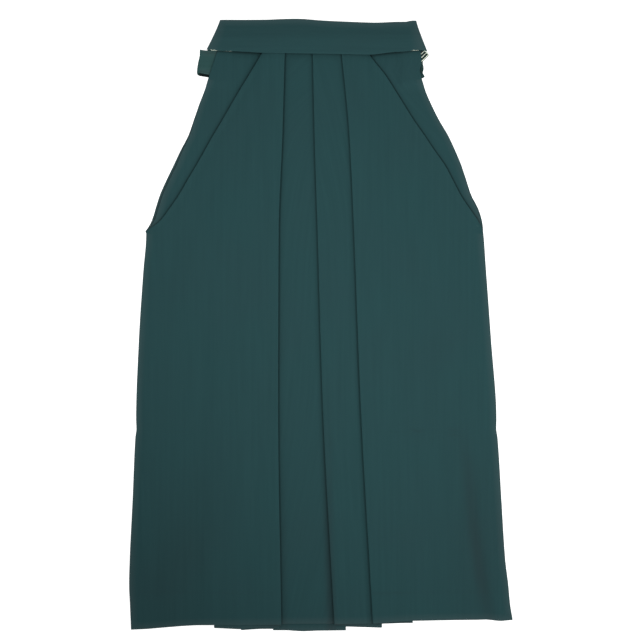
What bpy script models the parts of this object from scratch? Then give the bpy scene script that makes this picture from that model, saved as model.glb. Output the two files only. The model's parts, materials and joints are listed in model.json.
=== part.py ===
"""A pair of hakama trousers, laid flat with the front side up.

Lengths in the tables are millimetres and the meshes are metres. +X is toward the wearer's left side,
+Y toward the waist and +Z up, away from the surface that the garment lies on. The origin is in the
middle of the garment, on that surface. Right and left are the wearer's own.

Every run of cloth is one layer of a stack. All layers put their points on the same fold lines, and each
lies one pitch above whatever is under it, so the layers follow each other and never meet.
"""

import math
from collections import namedtuple

import bmesh
import bpy

OBJECT_NAME = "hakama_trousers"
MM = 0.001

# The cloth: its wall, the air between two layers, and the half-round turn at a fold.
WALL = 1.0
GAP = 0.3
PITCH = WALL + GAP
TURN_OUTER = (PITCH + WALL) / 2
TURN_INNER = GAP / 2
TURN_STEPS = 4

# How far beside a hidden fold the cloth over it takes to come down again.
DRAPE = 14.0

# The slanted edges hide a tuck of this width, and the side strip ends this far short of it.
TUCK = 16.0
TUCK_MARGIN = 3.0

# Heights on the garment at which the fold lines below are given.
FOLD_LEVELS = (430.0, 301.5, 148.5, -120.0, -473.0)

# Each fold or inner edge, from the waist down to the hem, in order from the right side to the left.
FOLD_LINES = {
    "outer_under_right": (-83.5, -129.5, -150.5, -156.5, -169.5),
    "second_under": (-77.0, -102.5, -111.5, -116.0, -126.5),
    "left_leg_inner": (-66.0, -71.0, -75.5, -78.0, -75.5),
    "second_edge": (-59.0, -61.5, -67.5, -69.5, -65.0),
    "outer_edge_right": (-55.5, -58.5, -64.0, -66.5, -62.0),
    "centre_edge": (-13.5, -10.0, -4.5, 3.0, 21.5),
    "right_leg_inner": (2.5, 8.5, 16.5, 28.0, 40.5),
    "outer_edge_left": (32.5, 45.0, 52.5, 64.5, 83.5),
    "centre_under": (42.0, 58.0, 69.0, 82.0, 98.0),
    "outer_under_left": (58.0, 86.5, 106.5, 118.5, 147.0),
}

# The outline from the waist down: height, right side, right slant, left slant, left side.
# Below the side openings the slants have run into the side seams.
OutlineRow = namedtuple("OutlineRow", "level side_right slant_right slant_left side_left")
OUTLINE = tuple(OutlineRow(*row) for row in (
    (443.0, -162.0, -88.0, 69.0, 156.0),
    (420.5, -168.5, -101.0, 85.0, 157.5),
    (396.5, -176.5, -115.5, 104.0, 159.0),
    (373.0, -183.5, -130.0, 119.0, 164.5),
    (349.0, -193.0, -144.0, 134.0, 175.0),
    (325.0, -201.0, -158.0, 149.0, 187.0),
    (301.5, -209.0, -172.0, 165.5, 201.0),
    (277.5, -222.0, -185.5, 181.5, 212.5),
    (253.5, -233.0, -199.0, 198.5, 222.0),
    (230.0, -244.0, -213.0, 211.0, 230.0),
    (206.0, -255.0, -227.0, 223.5, 237.5),
    (185.0, -261.5, -241.5, 237.5, 249.0),
    (166.0, -268.0, -257.0, 251.0, 255.0),
    (148.5, -276.5, -275.0, 257.0, 257.5),
    (86.5, -281.5, -281.5, 261.5, 261.5),
    (-24.5, -288.5, -288.5, 269.5, 269.5),
    (-152.0, -293.0, -293.0, 278.0, 278.0),
    (-279.0, -298.0, -298.0, 285.5, 285.5),
    (-374.5, -303.0, -303.0, 292.0, 292.0),
    (-414.0, -304.5, -304.5, 297.5, 297.5),
    (-447.5, -302.0, -302.0, 300.5, 300.5),
    (-473.0, -300.5, -300.5, 304.5, 304.5),
))

# Heights of the rows of points down a leg. The hem adds two more rows, which follow its own line.
PANEL_LEVELS = (
    443.0, 420.5, 373.0, 325.0, 301.5, 277.5, 253.5, 230.0, 206.0, 185.0, 166.0, 148.5, 86.5,
    -24.5, -152.0, -279.0, -374.5, -414.0, -447.5,
)
HEM_LEVEL = -473.0
HEM_ROLL = 2.0
SIDE_FOLD_END = 146.0
SIDE_FOLD_FADE = 40.0

# Extra points between two neighbouring lines, as shares of the way: close together where the cloth
# steps down off a hidden fold.
LINE_ORDER = (
    ("slant_right", (0.5,)),
    ("tuck_right", (0.35, 0.65, 0.82, 0.92)),
    ("outer_under_right", (0.35, 0.65, 0.85)),
    ("second_under", (0.35, 0.65, 0.85)),
    ("left_leg_inner", ()),
    ("second_edge", ()),
    ("outer_edge_right", (0.33, 0.67)),
    ("centre_edge", (0.5,)),
    ("right_leg_inner", (0.15, 0.35, 0.65)),
    ("outer_edge_left", ()),
    ("centre_under", (0.15, 0.35, 0.65)),
    ("outer_under_left", (0.08, 0.18, 0.35, 0.65)),
    ("tuck_left", (0.5,)),
    ("slant_left", ()),
)

# The stack, from the surface up: layer, the line at its right edge, the line at its left edge.
Layer = namedtuple("Layer", "name right left")
STACK = tuple(Layer(*row) for row in (
    ("back_left", "left_leg_inner", "side_left"),
    ("left_inner_run", "left_leg_inner", "centre_under"),
    ("back_right", "side_right", "right_leg_inner"),
    ("side_strip_right", "side_right", "tuck_right"),
    ("side_strip_left", "tuck_left", "side_left"),
    ("right_inner_run", "second_under", "right_leg_inner"),
    ("second_return", "second_under", "second_edge"),
    ("second_run", "outer_under_right", "second_edge"),
    ("outer_return_right", "outer_under_right", "outer_edge_right"),
    ("outer_run_right", "slant_right", "outer_edge_right"),
    ("centre_return", "centre_edge", "centre_under"),
    ("centre_run", "centre_edge", "outer_under_left"),
    ("outer_return_left", "outer_edge_left", "outer_under_left"),
    ("outer_run_left", "outer_edge_left", "slant_left"),
))

# The two groups of pleats lie beside each other, so neither lifts the other.
RIGHT_PLEATS = ("second_return", "second_run", "outer_return_right", "outer_run_right")
LEFT_PLEATS = ("centre_return", "centre_run", "outer_return_left", "outer_run_left")

# How each front is folded: its layers in the order in which one would draw the cloth, and the way.
RIGHT_FRONT_FOLDS = (
    ("outer_run_right", 1),
    ("outer_return_right", -1),
    ("second_run", 1),
    ("second_return", -1),
    ("right_inner_run", 1),
)
LEFT_FRONT_FOLDS = (
    ("left_inner_run", 1),
    ("centre_return", -1),
    ("centre_run", 1),
    ("outer_return_left", -1),
    ("outer_run_left", 1),
)

# The hem of each layer: pairs of x and y, from its right edge to its left.
HEMS = {
    "outer_run_right": ((-299.5, -484.0), (-171.0, -475.5), (-63.0, -474.5)),
    "outer_return_right": ((-169.5, -480.5), (-63.0, -475.5)),
    "second_run": ((-169.5, -480.5), (-66.0, -479.5)),
    "second_return": ((-126.5, -483.0), (-66.0, -479.5)),
    "right_inner_run": ((-126.5, -483.0), (-63.0, -476.0), (40.5, -475.5)),
    "left_inner_run": ((-75.5, -484.0), (40.5, -482.0), (98.0, -479.5)),
    "centre_return": ((20.0, -475.5), (98.0, -479.5)),
    "centre_run": ((20.0, -474.5), (85.0, -475.0), (147.0, -473.0)),
    "outer_return_left": ((85.0, -474.0), (147.0, -473.0)),
    "outer_run_left": ((85.0, -473.5), (147.0, -468.5), (304.5, -468.5)),
    "back_right": (
        (-299.5, -483.5), (-171.0, -475.0), (-93.0, -483.0), (-16.5, -485.5), (40.5, -484.0),
    ),
    "back_left": ((-75.5, -483.5), (40.5, -479.5), (98.0, -472.0), (147.0, -467.5), (304.5, -467.5)),
}

# The waistband from right to left: its top edge, its lower edge, and the height of its lower edge
# above the surface, where it rides over the pleats.
BandRow = namedtuple("BandRow", "top_x top_y low_x low_y low_z")
BAND = tuple(BandRow(*row) for row in (
    (-160.0, 483.5, -180.5, 436.0, 7.1),
    (-150.5, 483.0, -164.5, 435.0, 7.3),
    (-121.5, 483.5, -131.0, 433.5, 8.6),
    (-83.5, 484.0, -93.0, 431.0, 10.4),
    (-39.0, 485.5, -48.5, 430.5, 10.4),
    (7.0, 482.5, 2.5, 429.5, 10.2),
    (47.0, 481.0, 43.5, 429.0, 9.4),
    (88.0, 479.5, 78.5, 428.5, 9.0),
    (120.0, 480.5, 117.0, 432.5, 9.0),
    (139.0, 481.0, 144.0, 434.0, 9.0),
    (152.5, 482.0, 169.5, 433.5, 9.0),
))
BAND_WALL = 2.0
BAND_SHARES = (0.0, 0.12, 0.3, 0.48, 0.66, 0.84, 1.0)
BAND_LEVEL_SHARE = 0.66
BACK_BAND_INSET = 2.0
BACK_BAND_CORNER = 0.5

# The straps' rows: height of the upper ply, of the lower ply, the fold's x, and how far it gapes.
StrapRow = namedtuple("StrapRow", "upper_y lower_y fold_x gape")
STRAP_RIGHT = tuple(StrapRow(*row) for row in (
    (437.5, 437.0, -191.5, 0.3),
    (430.0, 429.5, -191.6, 0.4),
    (417.5, 416.5, -194.0, 0.9),
    (406.0, 404.0, -195.4, 1.7),
    (400.0, 396.0, -195.6, 2.4),
))
STRAP_LEFT = tuple(StrapRow(*row) for row in (
    (435.0, 435.0, 152.0, 0.3),
    (428.0, 428.0, 156.0, 0.3),
    (421.0, 421.0, 161.5, 0.3),
    (416.0, 416.0, 163.0, 0.3),
    (410.5, 410.5, 161.0, 0.3),
    (405.0, 405.0, 161.4, 0.3),
    (399.0, 399.0, 164.2, 0.3),
    (395.0, 395.0, 162.5, 0.3),
    (392.0, 392.0, 160.0, 0.3),
))
STRAP_SHARES = (0.0, 0.5, 0.75, 0.9)
STRAP_RIGHT_END = -156.0
STRAP_LEFT_END = 138.0

# Where the side strips are lifted over the straps and the slide: from this far out, down to this
# height, and by this much.
LIFT_RIGHT = {"from_x": -150.0, "down_to": 388.0, "height": 2 * PITCH}
LIFT_LEFT = {"from_x": 134.0, "down_to": 386.0, "height": 2 * PITCH + 1.9}
LIFT_FADE = 14.0
SIDE_STRIP_SHARES = (0.0, 0.1, 0.2, 0.32, 0.46, 0.62, 0.8, 1.0)
SIDE_STRIP_LEVELS = (
    443.0, 434.0, 425.0, 416.0, 407.0, 398.0, 389.0, 381.0, 373.0, 349.0, 325.0, 301.5, 277.5,
    253.5, 230.0, 206.0, 185.0, 166.0, 146.0,
)
# The back's edge shows outside the strip just above the side openings.
STRIP_INSET_LEVELS = (443.0, 253.5, 206.0, 166.0, 146.0)
STRIP_INSETS = (0.0, 0.0, 3.5, 2.5, 1.5)

# Wire rings under the ends of the waistband, and the three-bar slide on the left strap.
WIRE = 1.6
RING_RIGHT = {"centre": (-162.4, 440.9), "size": (37.0, 13.0), "turn": -6.0, "base": 5.2}
RING_LEFT = {"centre": (137.1, 439.4), "size": (37.0, 13.0), "turn": 4.0, "base": 7.1}
SLIDE_LEFT = {"centre": (157.8, 423.4), "size": (28.0, 11.0), "turn": 43.8, "base": 3.9}
FRAME_CORNER = 2.0
CORNER_STEPS = 3

CLOTH_COLOUR = (0.022, 0.062, 0.068, 1.0)
STRAP_COLOUR = (0.026, 0.066, 0.070, 1.0)
METAL_COLOUR = (0.62, 0.58, 0.44, 1.0)
CLOTH_ROUGHNESS = 0.8
METAL_ROUGHNESS = 0.3


def along(table, x):
    """Reads a value from pairs of (x, value) by straight lines, flat past the ends."""
    if x <= table[0][0]:
        return table[0][1]
    for (x0, v0), (x1, v1) in zip(table, table[1:]):
        if x <= x1:
            return v0 + (v1 - v0) * (x - x0) / (x1 - x0)
    return table[-1][1]


def eased(table, x):
    """Reads a value from pairs of (x, value) by one smooth curve through them, flat past the ends."""
    if x <= table[0][0] or x >= table[-1][0]:
        return along(table, x)
    slopes = [(b[1] - a[1]) / (b[0] - a[0]) for a, b in zip(table, table[1:])]
    inner = [(a + b) / 2 for a, b in zip(slopes, slopes[1:])]
    ends = [slopes[0]] + inner + [slopes[-1]]
    for i, ((x0, v0), (x1, v1)) in enumerate(zip(table, table[1:])):
        if x <= x1:
            step = x1 - x0
            t = (x - x0) / step
            rise = v0 * (1 + 2 * t) * (1 - t) ** 2 + v1 * t * t * (3 - 2 * t)
            return rise + step * (ends[i] * t * (1 - t) ** 2 - ends[i + 1] * t * t * (1 - t))


def fade(distance, width):
    """1 at and before zero, then a soft slope down to 0 at the given width."""
    if distance <= 0:
        return 1.0
    if distance >= width:
        return 0.0
    return 0.5 * (1 + math.cos(math.pi * distance / width))


def outline(column, level):
    """The x of an outer line at a height on the garment."""
    return along(sorted((row.level, getattr(row, column)) for row in OUTLINE), level)


def line(name, level):
    """The x of a named line at a height on the garment."""
    if name in FOLD_LINES:
        return eased(sorted(zip(FOLD_LEVELS, FOLD_LINES[name])), level)
    if name == "tuck_right":
        edge = outline("slant_right", level)
        return edge + min(TUCK, 0.5 * (line("outer_under_right", level) - edge))
    if name == "tuck_left":
        edge = outline("slant_left", level)
        return edge - min(TUCK, 0.5 * (edge - line("outer_under_left", level)))
    return outline(name, level)


def cover(layer, x, level):
    """How much of its pitch a layer gives, at one place, to what lies over it."""
    outside = max(line(layer.right, level) - x, x - line(layer.left, level))
    amount = fade(outside, DRAPE)
    if layer.name.startswith("side_strip"):
        amount *= fade(SIDE_FOLD_END - level, SIDE_FOLD_FADE)
    return amount


def height(name, x, level):
    """The underside of a layer above the surface: one pitch for each layer below it."""
    names = [layer.name for layer in STACK]
    below = STACK[: names.index(name)]
    if name in LEFT_PLEATS:
        below = [layer for layer in below if layer.name not in RIGHT_PLEATS]
    return PITCH * sum(cover(layer, x, level) for layer in below)


def line_places(level, right, left):
    """The shared x places between two lines, both included."""
    places = []
    names = [name for name, _ in LINE_ORDER]
    for i in range(names.index(right), names.index(left)):
        here = line(names[i], level)
        there = line(names[i + 1], level)
        places.append(here)
        places.extend(here + share * (there - here) for share in LINE_ORDER[i][1])
    places.append(line(left, level))
    return places


def hem_height(name, x):
    return along(HEMS[name], x)


def row_height(name, x, row):
    """The y of one point: rows are straight across but for the hem's own two."""
    level, kind = row
    if kind == "roll":
        return hem_height(name, x) + HEM_ROLL
    if kind == "hem":
        return hem_height(name, x)
    if kind == "seam":
        return back_seam(x) - GAP
    return level


def run_pairs(name, row, direction, trim_right, trim_left):
    """One layer of one row as pairs of points, drawn in the given direction.

    The first of a pair is on the side that is uppermost when the cloth is drawn to the left.
    """
    level = row[0]
    layer = next(layer for layer in STACK if layer.name == name)
    places = line_places(level, layer.right, layer.left)
    pairs = []
    for i, x in enumerate(places):
        z = height(name, x, level)
        if i == 0 and trim_right:
            x += TURN_OUTER
        if i == len(places) - 1 and trim_left:
            x -= TURN_OUTER
        y = row_height(name, x, row)
        top = (x, y, z + WALL)
        under = (x, y, z)
        pairs.append((top, under) if direction > 0 else (under, top))
    return pairs if direction > 0 else pairs[::-1]


def turn_pairs(first, second, row, direction):
    """The half-round fold between two layers of one row."""
    level = row[0]
    layer = next(layer for layer in STACK if layer.name == first)
    edge = line(layer.left if direction > 0 else layer.right, level)
    centre_x = edge - direction * TURN_OUTER
    z_first = height(first, edge, level)
    z_second = height(second, edge, level)
    centre_z = (z_first + z_second + WALL) / 2
    rising = 1 if z_second > z_first else -1
    y_first = row_height(first, centre_x, row)
    y_second = row_height(second, centre_x, row)
    pairs = []
    for step in range(1, TURN_STEPS):
        angle = math.pi * step / TURN_STEPS
        y = y_first + (y_second - y_first) * step / TURN_STEPS
        outer, inner = (
            (
                centre_x + direction * radius * math.sin(angle),
                y,
                centre_z - rising * radius * math.cos(angle),
            )
            for radius in (TURN_OUTER, TURN_INNER)
        )
        drawn_over = (direction > 0) == (rising < 0)
        pairs.append((outer, inner) if drawn_over else (inner, outer))
    return pairs


def folded_row(folds, row):
    """One whole row of a pleated front."""
    pairs = []
    for i, (name, direction) in enumerate(folds):
        folded_before = i > 0
        folded_after = i < len(folds) - 1
        trim_right = folded_before if direction > 0 else folded_after
        trim_left = folded_after if direction > 0 else folded_before
        pairs.extend(run_pairs(name, row, direction, trim_right, trim_left))
        if folded_after:
            pairs.extend(turn_pairs(name, folds[i + 1][0], row, direction))
    return pairs


def panel_rows(first):
    """The rows of a panel: its top row, the straight ones below it, then the hem's two."""
    lower = [(level, "level") for level in PANEL_LEVELS if level < first[0]]
    return [first] + lower + [(HEM_LEVEL, "roll"), (HEM_LEVEL, "hem")]


def make_material(name, colour, roughness, metallic):
    material = bpy.data.materials.new(name)
    material.use_nodes = True
    shader = material.node_tree.nodes["Principled BSDF"]
    shader.inputs["Base Color"].default_value = colour
    shader.inputs["Roughness"].default_value = roughness
    shader.inputs["Metallic"].default_value = metallic
    material.diffuse_color = colour
    return material


def add_object(name, mesh, colour, roughness, metallic):
    item = bpy.data.objects.new(name, mesh)
    bpy.data.collections[OBJECT_NAME].objects.link(item)
    item.data.materials.append(make_material(name + "_finish", colour, roughness, metallic))
    return item


def wall_object(name, rows, colour=CLOTH_COLOUR):
    """A closed cloth wall through rows of paired points, all rows having as many pairs."""
    shape = bmesh.new()
    grid = []
    for row in rows:
        grid.append([
            tuple(shape.verts.new([value * MM for value in point]) for point in pair) for pair in row
        ])
    last = len(grid[0]) - 1
    for upper, lower in zip(grid, grid[1:]):
        for i in range(last):
            for side in (0, 1):
                shape.faces.new((upper[i][side], upper[i + 1][side], lower[i + 1][side], lower[i][side]))
        for i in (0, last):
            shape.faces.new((upper[i][0], lower[i][0], lower[i][1], upper[i][1]))
    for row in (grid[0], grid[-1]):
        for i in range(last):
            shape.faces.new((row[i][0], row[i + 1][0], row[i + 1][1], row[i][1]))
    bmesh.ops.recalc_face_normals(shape, faces=shape.faces)
    mesh = bpy.data.meshes.new(name)
    shape.to_mesh(mesh)
    shape.free()
    return add_object(name, mesh, colour, CLOTH_ROUGHNESS, 0.0)


def flat_pairs(places, y_of, z_of, wall):
    """Pairs of points straight above each other at the given x places."""
    return [((x, y_of(x), z_of(x) + wall), (x, y_of(x), z_of(x))) for x in places]


def make_fronts():
    top = (PANEL_LEVELS[0], "level")
    for name, folds in (("front_right_leg", RIGHT_FRONT_FOLDS), ("front_left_leg", LEFT_FRONT_FOLDS)):
        wall_object(name, [folded_row(folds, row) for row in panel_rows(top)])


def back_seam(x):
    """The back's waist seam: straight between the waistband's two lower corners."""
    return along([(row.low_x, row.low_y) for row in (BAND[0], BAND[-1])], x)


def make_backs():
    """The backs lie on the surface, but for the right leg's inner part, which is on the left leg."""
    top = (FOLD_LEVELS[0], "seam")
    right_rows = []
    left_rows = []
    for row in panel_rows(top):
        level = row[0]
        places = [line("side_right", level), line("tuck_right", level)]
        places += line_places(level, "second_under", "right_leg_inner")
        right_rows.append(flat_pairs(
            places,
            lambda x: row_height("back_right", x, row),
            lambda x: height("back_right", x, level),
            WALL,
        ))
        start = line("left_leg_inner", level)
        end = line("side_left", level)
        inner = [line("centre_under", level), line("outer_under_left", level)]
        left_rows.append(flat_pairs(
            [start] + inner + [end],
            lambda x: row_height("back_left", x, row),
            lambda x: 0.0,
            WALL,
        ))
    wall_object("back_right_leg", right_rows)
    wall_object("back_left_leg", left_rows)


def make_side_fold(name, side, outer, inner, lift):
    """The strip beside a slanted edge: flat on the back, lifted over the strap at its top."""
    inset = sorted(zip(STRIP_INSET_LEVELS, STRIP_INSETS))
    rows = []
    for level in SIDE_STRIP_LEVELS:
        start = outline(outer, level) - side * along(inset, level)
        end = line(inner, level) + side * TUCK_MARGIN
        raised = lift["height"] * fade(lift["down_to"] - level, LIFT_FADE)
        rows.append(flat_pairs(
            [start + share * (end - start) for share in SIDE_STRIP_SHARES],
            lambda x: level,
            lambda x: PITCH + raised * fade(side * (lift["from_x"] - x), LIFT_FADE),
            WALL,
        ))
    wall_object(name, rows)


def band_pairs(row, front):
    """One crosswise row of a waistband, from its top edge to its lower edge."""
    top_y = row.top_y
    low_y = row.low_y
    wall = BAND_WALL
    if not front:
        at_end = row in (BAND[0], BAND[-1])
        top_y += BACK_BAND_CORNER if at_end else -BACK_BAND_INSET
        low_y = back_seam(row.low_x)
        wall = WALL
    pairs = []
    for share in BAND_SHARES:
        x = row.top_x + (row.low_x - row.top_x) * share
        y = top_y + (low_y - top_y) * share
        rise = fade(BAND_LEVEL_SHARE - share, BAND_LEVEL_SHARE)
        z = PITCH + (row.low_z - PITCH) * rise if front else 0.0
        pairs.append(((x, y, z + wall), (x, y, z)))
    return pairs


def make_waistbands():
    wall_object("front_waistband", [band_pairs(row, True) for row in BAND])
    wall_object("back_waistband", [band_pairs(row, False) for row in BAND])


def strap_pairs(row, side, strip_edge, hidden_x):
    """One row of a strap: the lower ply out to the fold, the turn, and the upper ply back."""
    top_of_lower = PITCH + WALL
    reach = abs(row.fold_x - strip_edge)
    places = [hidden_x + share * (row.fold_x - hidden_x) for share in STRAP_SHARES]
    lower = [((x, row.lower_y, PITCH), (x, row.lower_y, top_of_lower)) for x in places]
    upper = []
    for x in reversed(places):
        gape = GAP + (row.gape - GAP) * (1 - fade(side * (x - strip_edge), reach))
        z = top_of_lower + gape
        upper.append(((x, row.upper_y, z + WALL), (x, row.upper_y, z)))
    outer = (2 * WALL + row.gape) / 2
    inner = row.gape / 2
    centre_x = row.fold_x - side * outer
    centre_z = top_of_lower + inner
    turn = []
    for step in range(0, TURN_STEPS + 1):
        angle = math.pi * step / TURN_STEPS
        y = row.lower_y + (row.upper_y - row.lower_y) * step / TURN_STEPS
        turn.append(tuple(
            (centre_x + side * radius * math.sin(angle), y, centre_z - radius * math.cos(angle))
            for radius in (outer, inner)
        ))
    return lower + turn + upper


def make_strap(name, table, side, hidden_x):
    strip_side = "side_left" if side > 0 else "side_right"
    rows = [strap_pairs(row, side, outline(strip_side, row.upper_y), hidden_x) for row in table]
    wall_object(name, rows, STRAP_COLOUR)


def frame_points(size, corner):
    """A round-cornered rectangle, as points around its middle."""
    half_x = size[0] / 2 - corner
    half_y = size[1] / 2 - corner
    centres = ((half_x, half_y), (-half_x, half_y), (-half_x, -half_y), (half_x, -half_y))
    points = []
    for quarter, (cx, cy) in enumerate(centres):
        for step in range(CORNER_STEPS):
            angle = math.pi / 2 * (quarter + step / (CORNER_STEPS - 1))
            points.append((cx + corner * math.cos(angle), cy + corner * math.sin(angle)))
    return points


def wire_frame(name, shape, middle_bar):
    """A frame bent from round wire, with a bar across its middle where it is a slide."""
    size = [side - WIRE for side in shape["size"]]
    curve = bpy.data.curves.new(name + "_wire", "CURVE")
    curve.dimensions = "3D"
    curve.bevel_depth = WIRE / 2 * MM
    curve.bevel_resolution = 2
    spline = curve.splines.new("POLY")
    points = frame_points(size, FRAME_CORNER)
    spline.points.add(len(points) - 1)
    for target, (x, y) in zip(spline.points, points):
        target.co = (x * MM, y * MM, 0.0, 1.0)
    spline.use_cyclic_u = True
    wire = bpy.data.objects.new(name + "_wire", curve)
    bpy.context.scene.collection.objects.link(wire)
    graph = bpy.context.evaluated_depsgraph_get()
    mesh = bpy.data.meshes.new_from_object(wire.evaluated_get(graph))
    bpy.data.objects.remove(wire)
    item = add_object(name, mesh, METAL_COLOUR, METAL_ROUGHNESS, 1.0)
    item.location = (shape["centre"][0] * MM, shape["centre"][1] * MM, (shape["base"] + WIRE / 2) * MM)
    item.rotation_euler = (0.0, 0.0, math.radians(shape["turn"]))
    if middle_bar:
        add_middle_bar(item, size[0])
    return item


def add_middle_bar(item, length):
    bpy.ops.mesh.primitive_cylinder_add(vertices=8, radius=WIRE / 2 * MM, depth=length * MM)
    bar = bpy.context.object
    bar.name = item.name + "_bar_shape"
    bar.rotation_euler = (0.0, math.pi / 2, item.rotation_euler.z)
    bar.location = item.location
    for collection in list(bar.users_collection):
        collection.objects.unlink(bar)
    bpy.data.collections["cutters"].objects.link(bar)
    bar.hide_render = True
    bar.display_type = "WIRE"
    union = item.modifiers.new("middle_bar", "BOOLEAN")
    union.operation = "UNION"
    union.object = bar


def make_hardware():
    wire_frame("strap_ring_right", RING_RIGHT, False)
    wire_frame("strap_ring_left", RING_LEFT, False)
    wire_frame("strap_slide_left", SLIDE_LEFT, True)


def start_scene():
    for item in list(bpy.data.objects):
        bpy.data.objects.remove(item, do_unlink=True)
    for name in (OBJECT_NAME, "cutters"):
        collection = bpy.data.collections.new(name)
        bpy.context.scene.collection.children.link(collection)


def main():
    start_scene()
    make_backs()
    make_side_fold("side_fold_right", -1, "side_right", "tuck_right", LIFT_RIGHT)
    make_side_fold("side_fold_left", 1, "side_left", "tuck_left", LIFT_LEFT)
    make_fronts()
    make_waistbands()
    make_strap("adjuster_strap_right", STRAP_RIGHT, -1, STRAP_RIGHT_END)
    make_strap("adjuster_strap_left", STRAP_LEFT, 1, STRAP_LEFT_END)
    make_hardware()


main()
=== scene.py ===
# %% [markdown]
# # Hakama trousers, laid flat
#
# A hakama is a pair of very wide pleated trousers. This one is smooth dark green polyester and lies
# on a table with its front up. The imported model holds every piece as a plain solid. This lesson puts
# a finer piece over each solid, in the same place, and gives it its folds, its finish and its
# stitches. Right and left are the wearer's own, so the wearer's right is at the left of the picture.

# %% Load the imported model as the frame
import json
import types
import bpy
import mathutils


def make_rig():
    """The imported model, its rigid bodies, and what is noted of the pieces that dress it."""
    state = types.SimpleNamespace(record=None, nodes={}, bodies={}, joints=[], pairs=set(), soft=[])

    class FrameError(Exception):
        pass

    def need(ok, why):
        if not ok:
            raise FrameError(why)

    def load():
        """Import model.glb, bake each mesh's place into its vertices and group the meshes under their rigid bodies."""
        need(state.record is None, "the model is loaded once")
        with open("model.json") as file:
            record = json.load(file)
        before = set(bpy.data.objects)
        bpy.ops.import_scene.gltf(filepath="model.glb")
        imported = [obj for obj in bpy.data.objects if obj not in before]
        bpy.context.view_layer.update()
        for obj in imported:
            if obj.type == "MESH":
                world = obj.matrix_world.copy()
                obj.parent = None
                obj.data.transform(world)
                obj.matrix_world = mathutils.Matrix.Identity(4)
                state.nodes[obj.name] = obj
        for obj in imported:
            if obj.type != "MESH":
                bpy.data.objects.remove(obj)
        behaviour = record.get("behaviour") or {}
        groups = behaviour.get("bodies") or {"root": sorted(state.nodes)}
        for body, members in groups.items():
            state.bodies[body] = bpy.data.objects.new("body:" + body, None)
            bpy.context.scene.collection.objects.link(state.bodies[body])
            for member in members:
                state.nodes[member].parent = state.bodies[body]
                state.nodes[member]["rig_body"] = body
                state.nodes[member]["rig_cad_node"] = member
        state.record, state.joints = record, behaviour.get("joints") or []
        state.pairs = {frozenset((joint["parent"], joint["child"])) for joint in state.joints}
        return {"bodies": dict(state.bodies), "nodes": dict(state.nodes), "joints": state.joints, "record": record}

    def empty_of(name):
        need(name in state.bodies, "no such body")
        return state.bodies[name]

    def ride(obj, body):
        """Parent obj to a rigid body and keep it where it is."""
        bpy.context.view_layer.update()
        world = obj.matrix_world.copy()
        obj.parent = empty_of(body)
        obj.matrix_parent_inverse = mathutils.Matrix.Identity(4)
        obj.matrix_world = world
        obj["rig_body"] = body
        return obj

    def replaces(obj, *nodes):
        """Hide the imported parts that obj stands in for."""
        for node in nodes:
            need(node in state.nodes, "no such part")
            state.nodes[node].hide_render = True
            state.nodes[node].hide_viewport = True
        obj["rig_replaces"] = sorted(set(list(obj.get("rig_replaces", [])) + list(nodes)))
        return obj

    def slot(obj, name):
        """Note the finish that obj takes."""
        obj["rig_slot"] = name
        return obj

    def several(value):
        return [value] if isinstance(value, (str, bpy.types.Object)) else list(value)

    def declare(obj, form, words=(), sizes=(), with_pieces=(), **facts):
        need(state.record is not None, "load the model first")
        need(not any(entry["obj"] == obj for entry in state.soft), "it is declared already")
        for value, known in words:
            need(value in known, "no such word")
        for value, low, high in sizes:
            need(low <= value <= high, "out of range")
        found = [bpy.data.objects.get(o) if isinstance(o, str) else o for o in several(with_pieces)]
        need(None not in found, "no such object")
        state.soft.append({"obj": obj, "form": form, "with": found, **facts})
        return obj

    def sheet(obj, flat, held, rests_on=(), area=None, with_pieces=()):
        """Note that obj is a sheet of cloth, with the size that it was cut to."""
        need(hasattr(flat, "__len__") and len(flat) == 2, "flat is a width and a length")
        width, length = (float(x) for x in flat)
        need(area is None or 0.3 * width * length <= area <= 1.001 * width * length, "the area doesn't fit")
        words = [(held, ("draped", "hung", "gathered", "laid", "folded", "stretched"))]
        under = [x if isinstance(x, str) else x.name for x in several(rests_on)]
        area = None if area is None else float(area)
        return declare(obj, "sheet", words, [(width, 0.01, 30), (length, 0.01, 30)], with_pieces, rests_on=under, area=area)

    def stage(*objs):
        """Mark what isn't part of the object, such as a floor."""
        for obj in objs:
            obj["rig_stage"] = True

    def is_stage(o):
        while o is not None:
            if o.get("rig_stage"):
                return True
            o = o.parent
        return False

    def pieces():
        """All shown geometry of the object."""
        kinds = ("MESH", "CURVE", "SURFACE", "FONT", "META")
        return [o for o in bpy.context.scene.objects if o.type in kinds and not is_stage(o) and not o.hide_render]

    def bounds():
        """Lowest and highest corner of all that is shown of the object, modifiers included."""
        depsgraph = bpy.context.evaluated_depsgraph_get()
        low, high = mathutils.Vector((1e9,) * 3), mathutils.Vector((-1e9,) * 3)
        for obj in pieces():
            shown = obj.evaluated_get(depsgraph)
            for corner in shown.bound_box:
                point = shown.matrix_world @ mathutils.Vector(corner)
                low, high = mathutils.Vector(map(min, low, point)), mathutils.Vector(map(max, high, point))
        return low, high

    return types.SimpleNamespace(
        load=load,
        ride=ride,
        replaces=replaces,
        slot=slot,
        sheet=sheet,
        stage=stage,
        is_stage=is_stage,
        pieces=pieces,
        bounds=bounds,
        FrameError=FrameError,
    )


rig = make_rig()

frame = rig.load()

import functools
import json
import math
from collections import namedtuple

import bmesh
import bpy

CAD_LOW, CAD_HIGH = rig.bounds()
print("packed model:", sorted(frame["nodes"]))
print("its box in mm:", [round(1000 * side) for side in CAD_HIGH - CAD_LOW])

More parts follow.
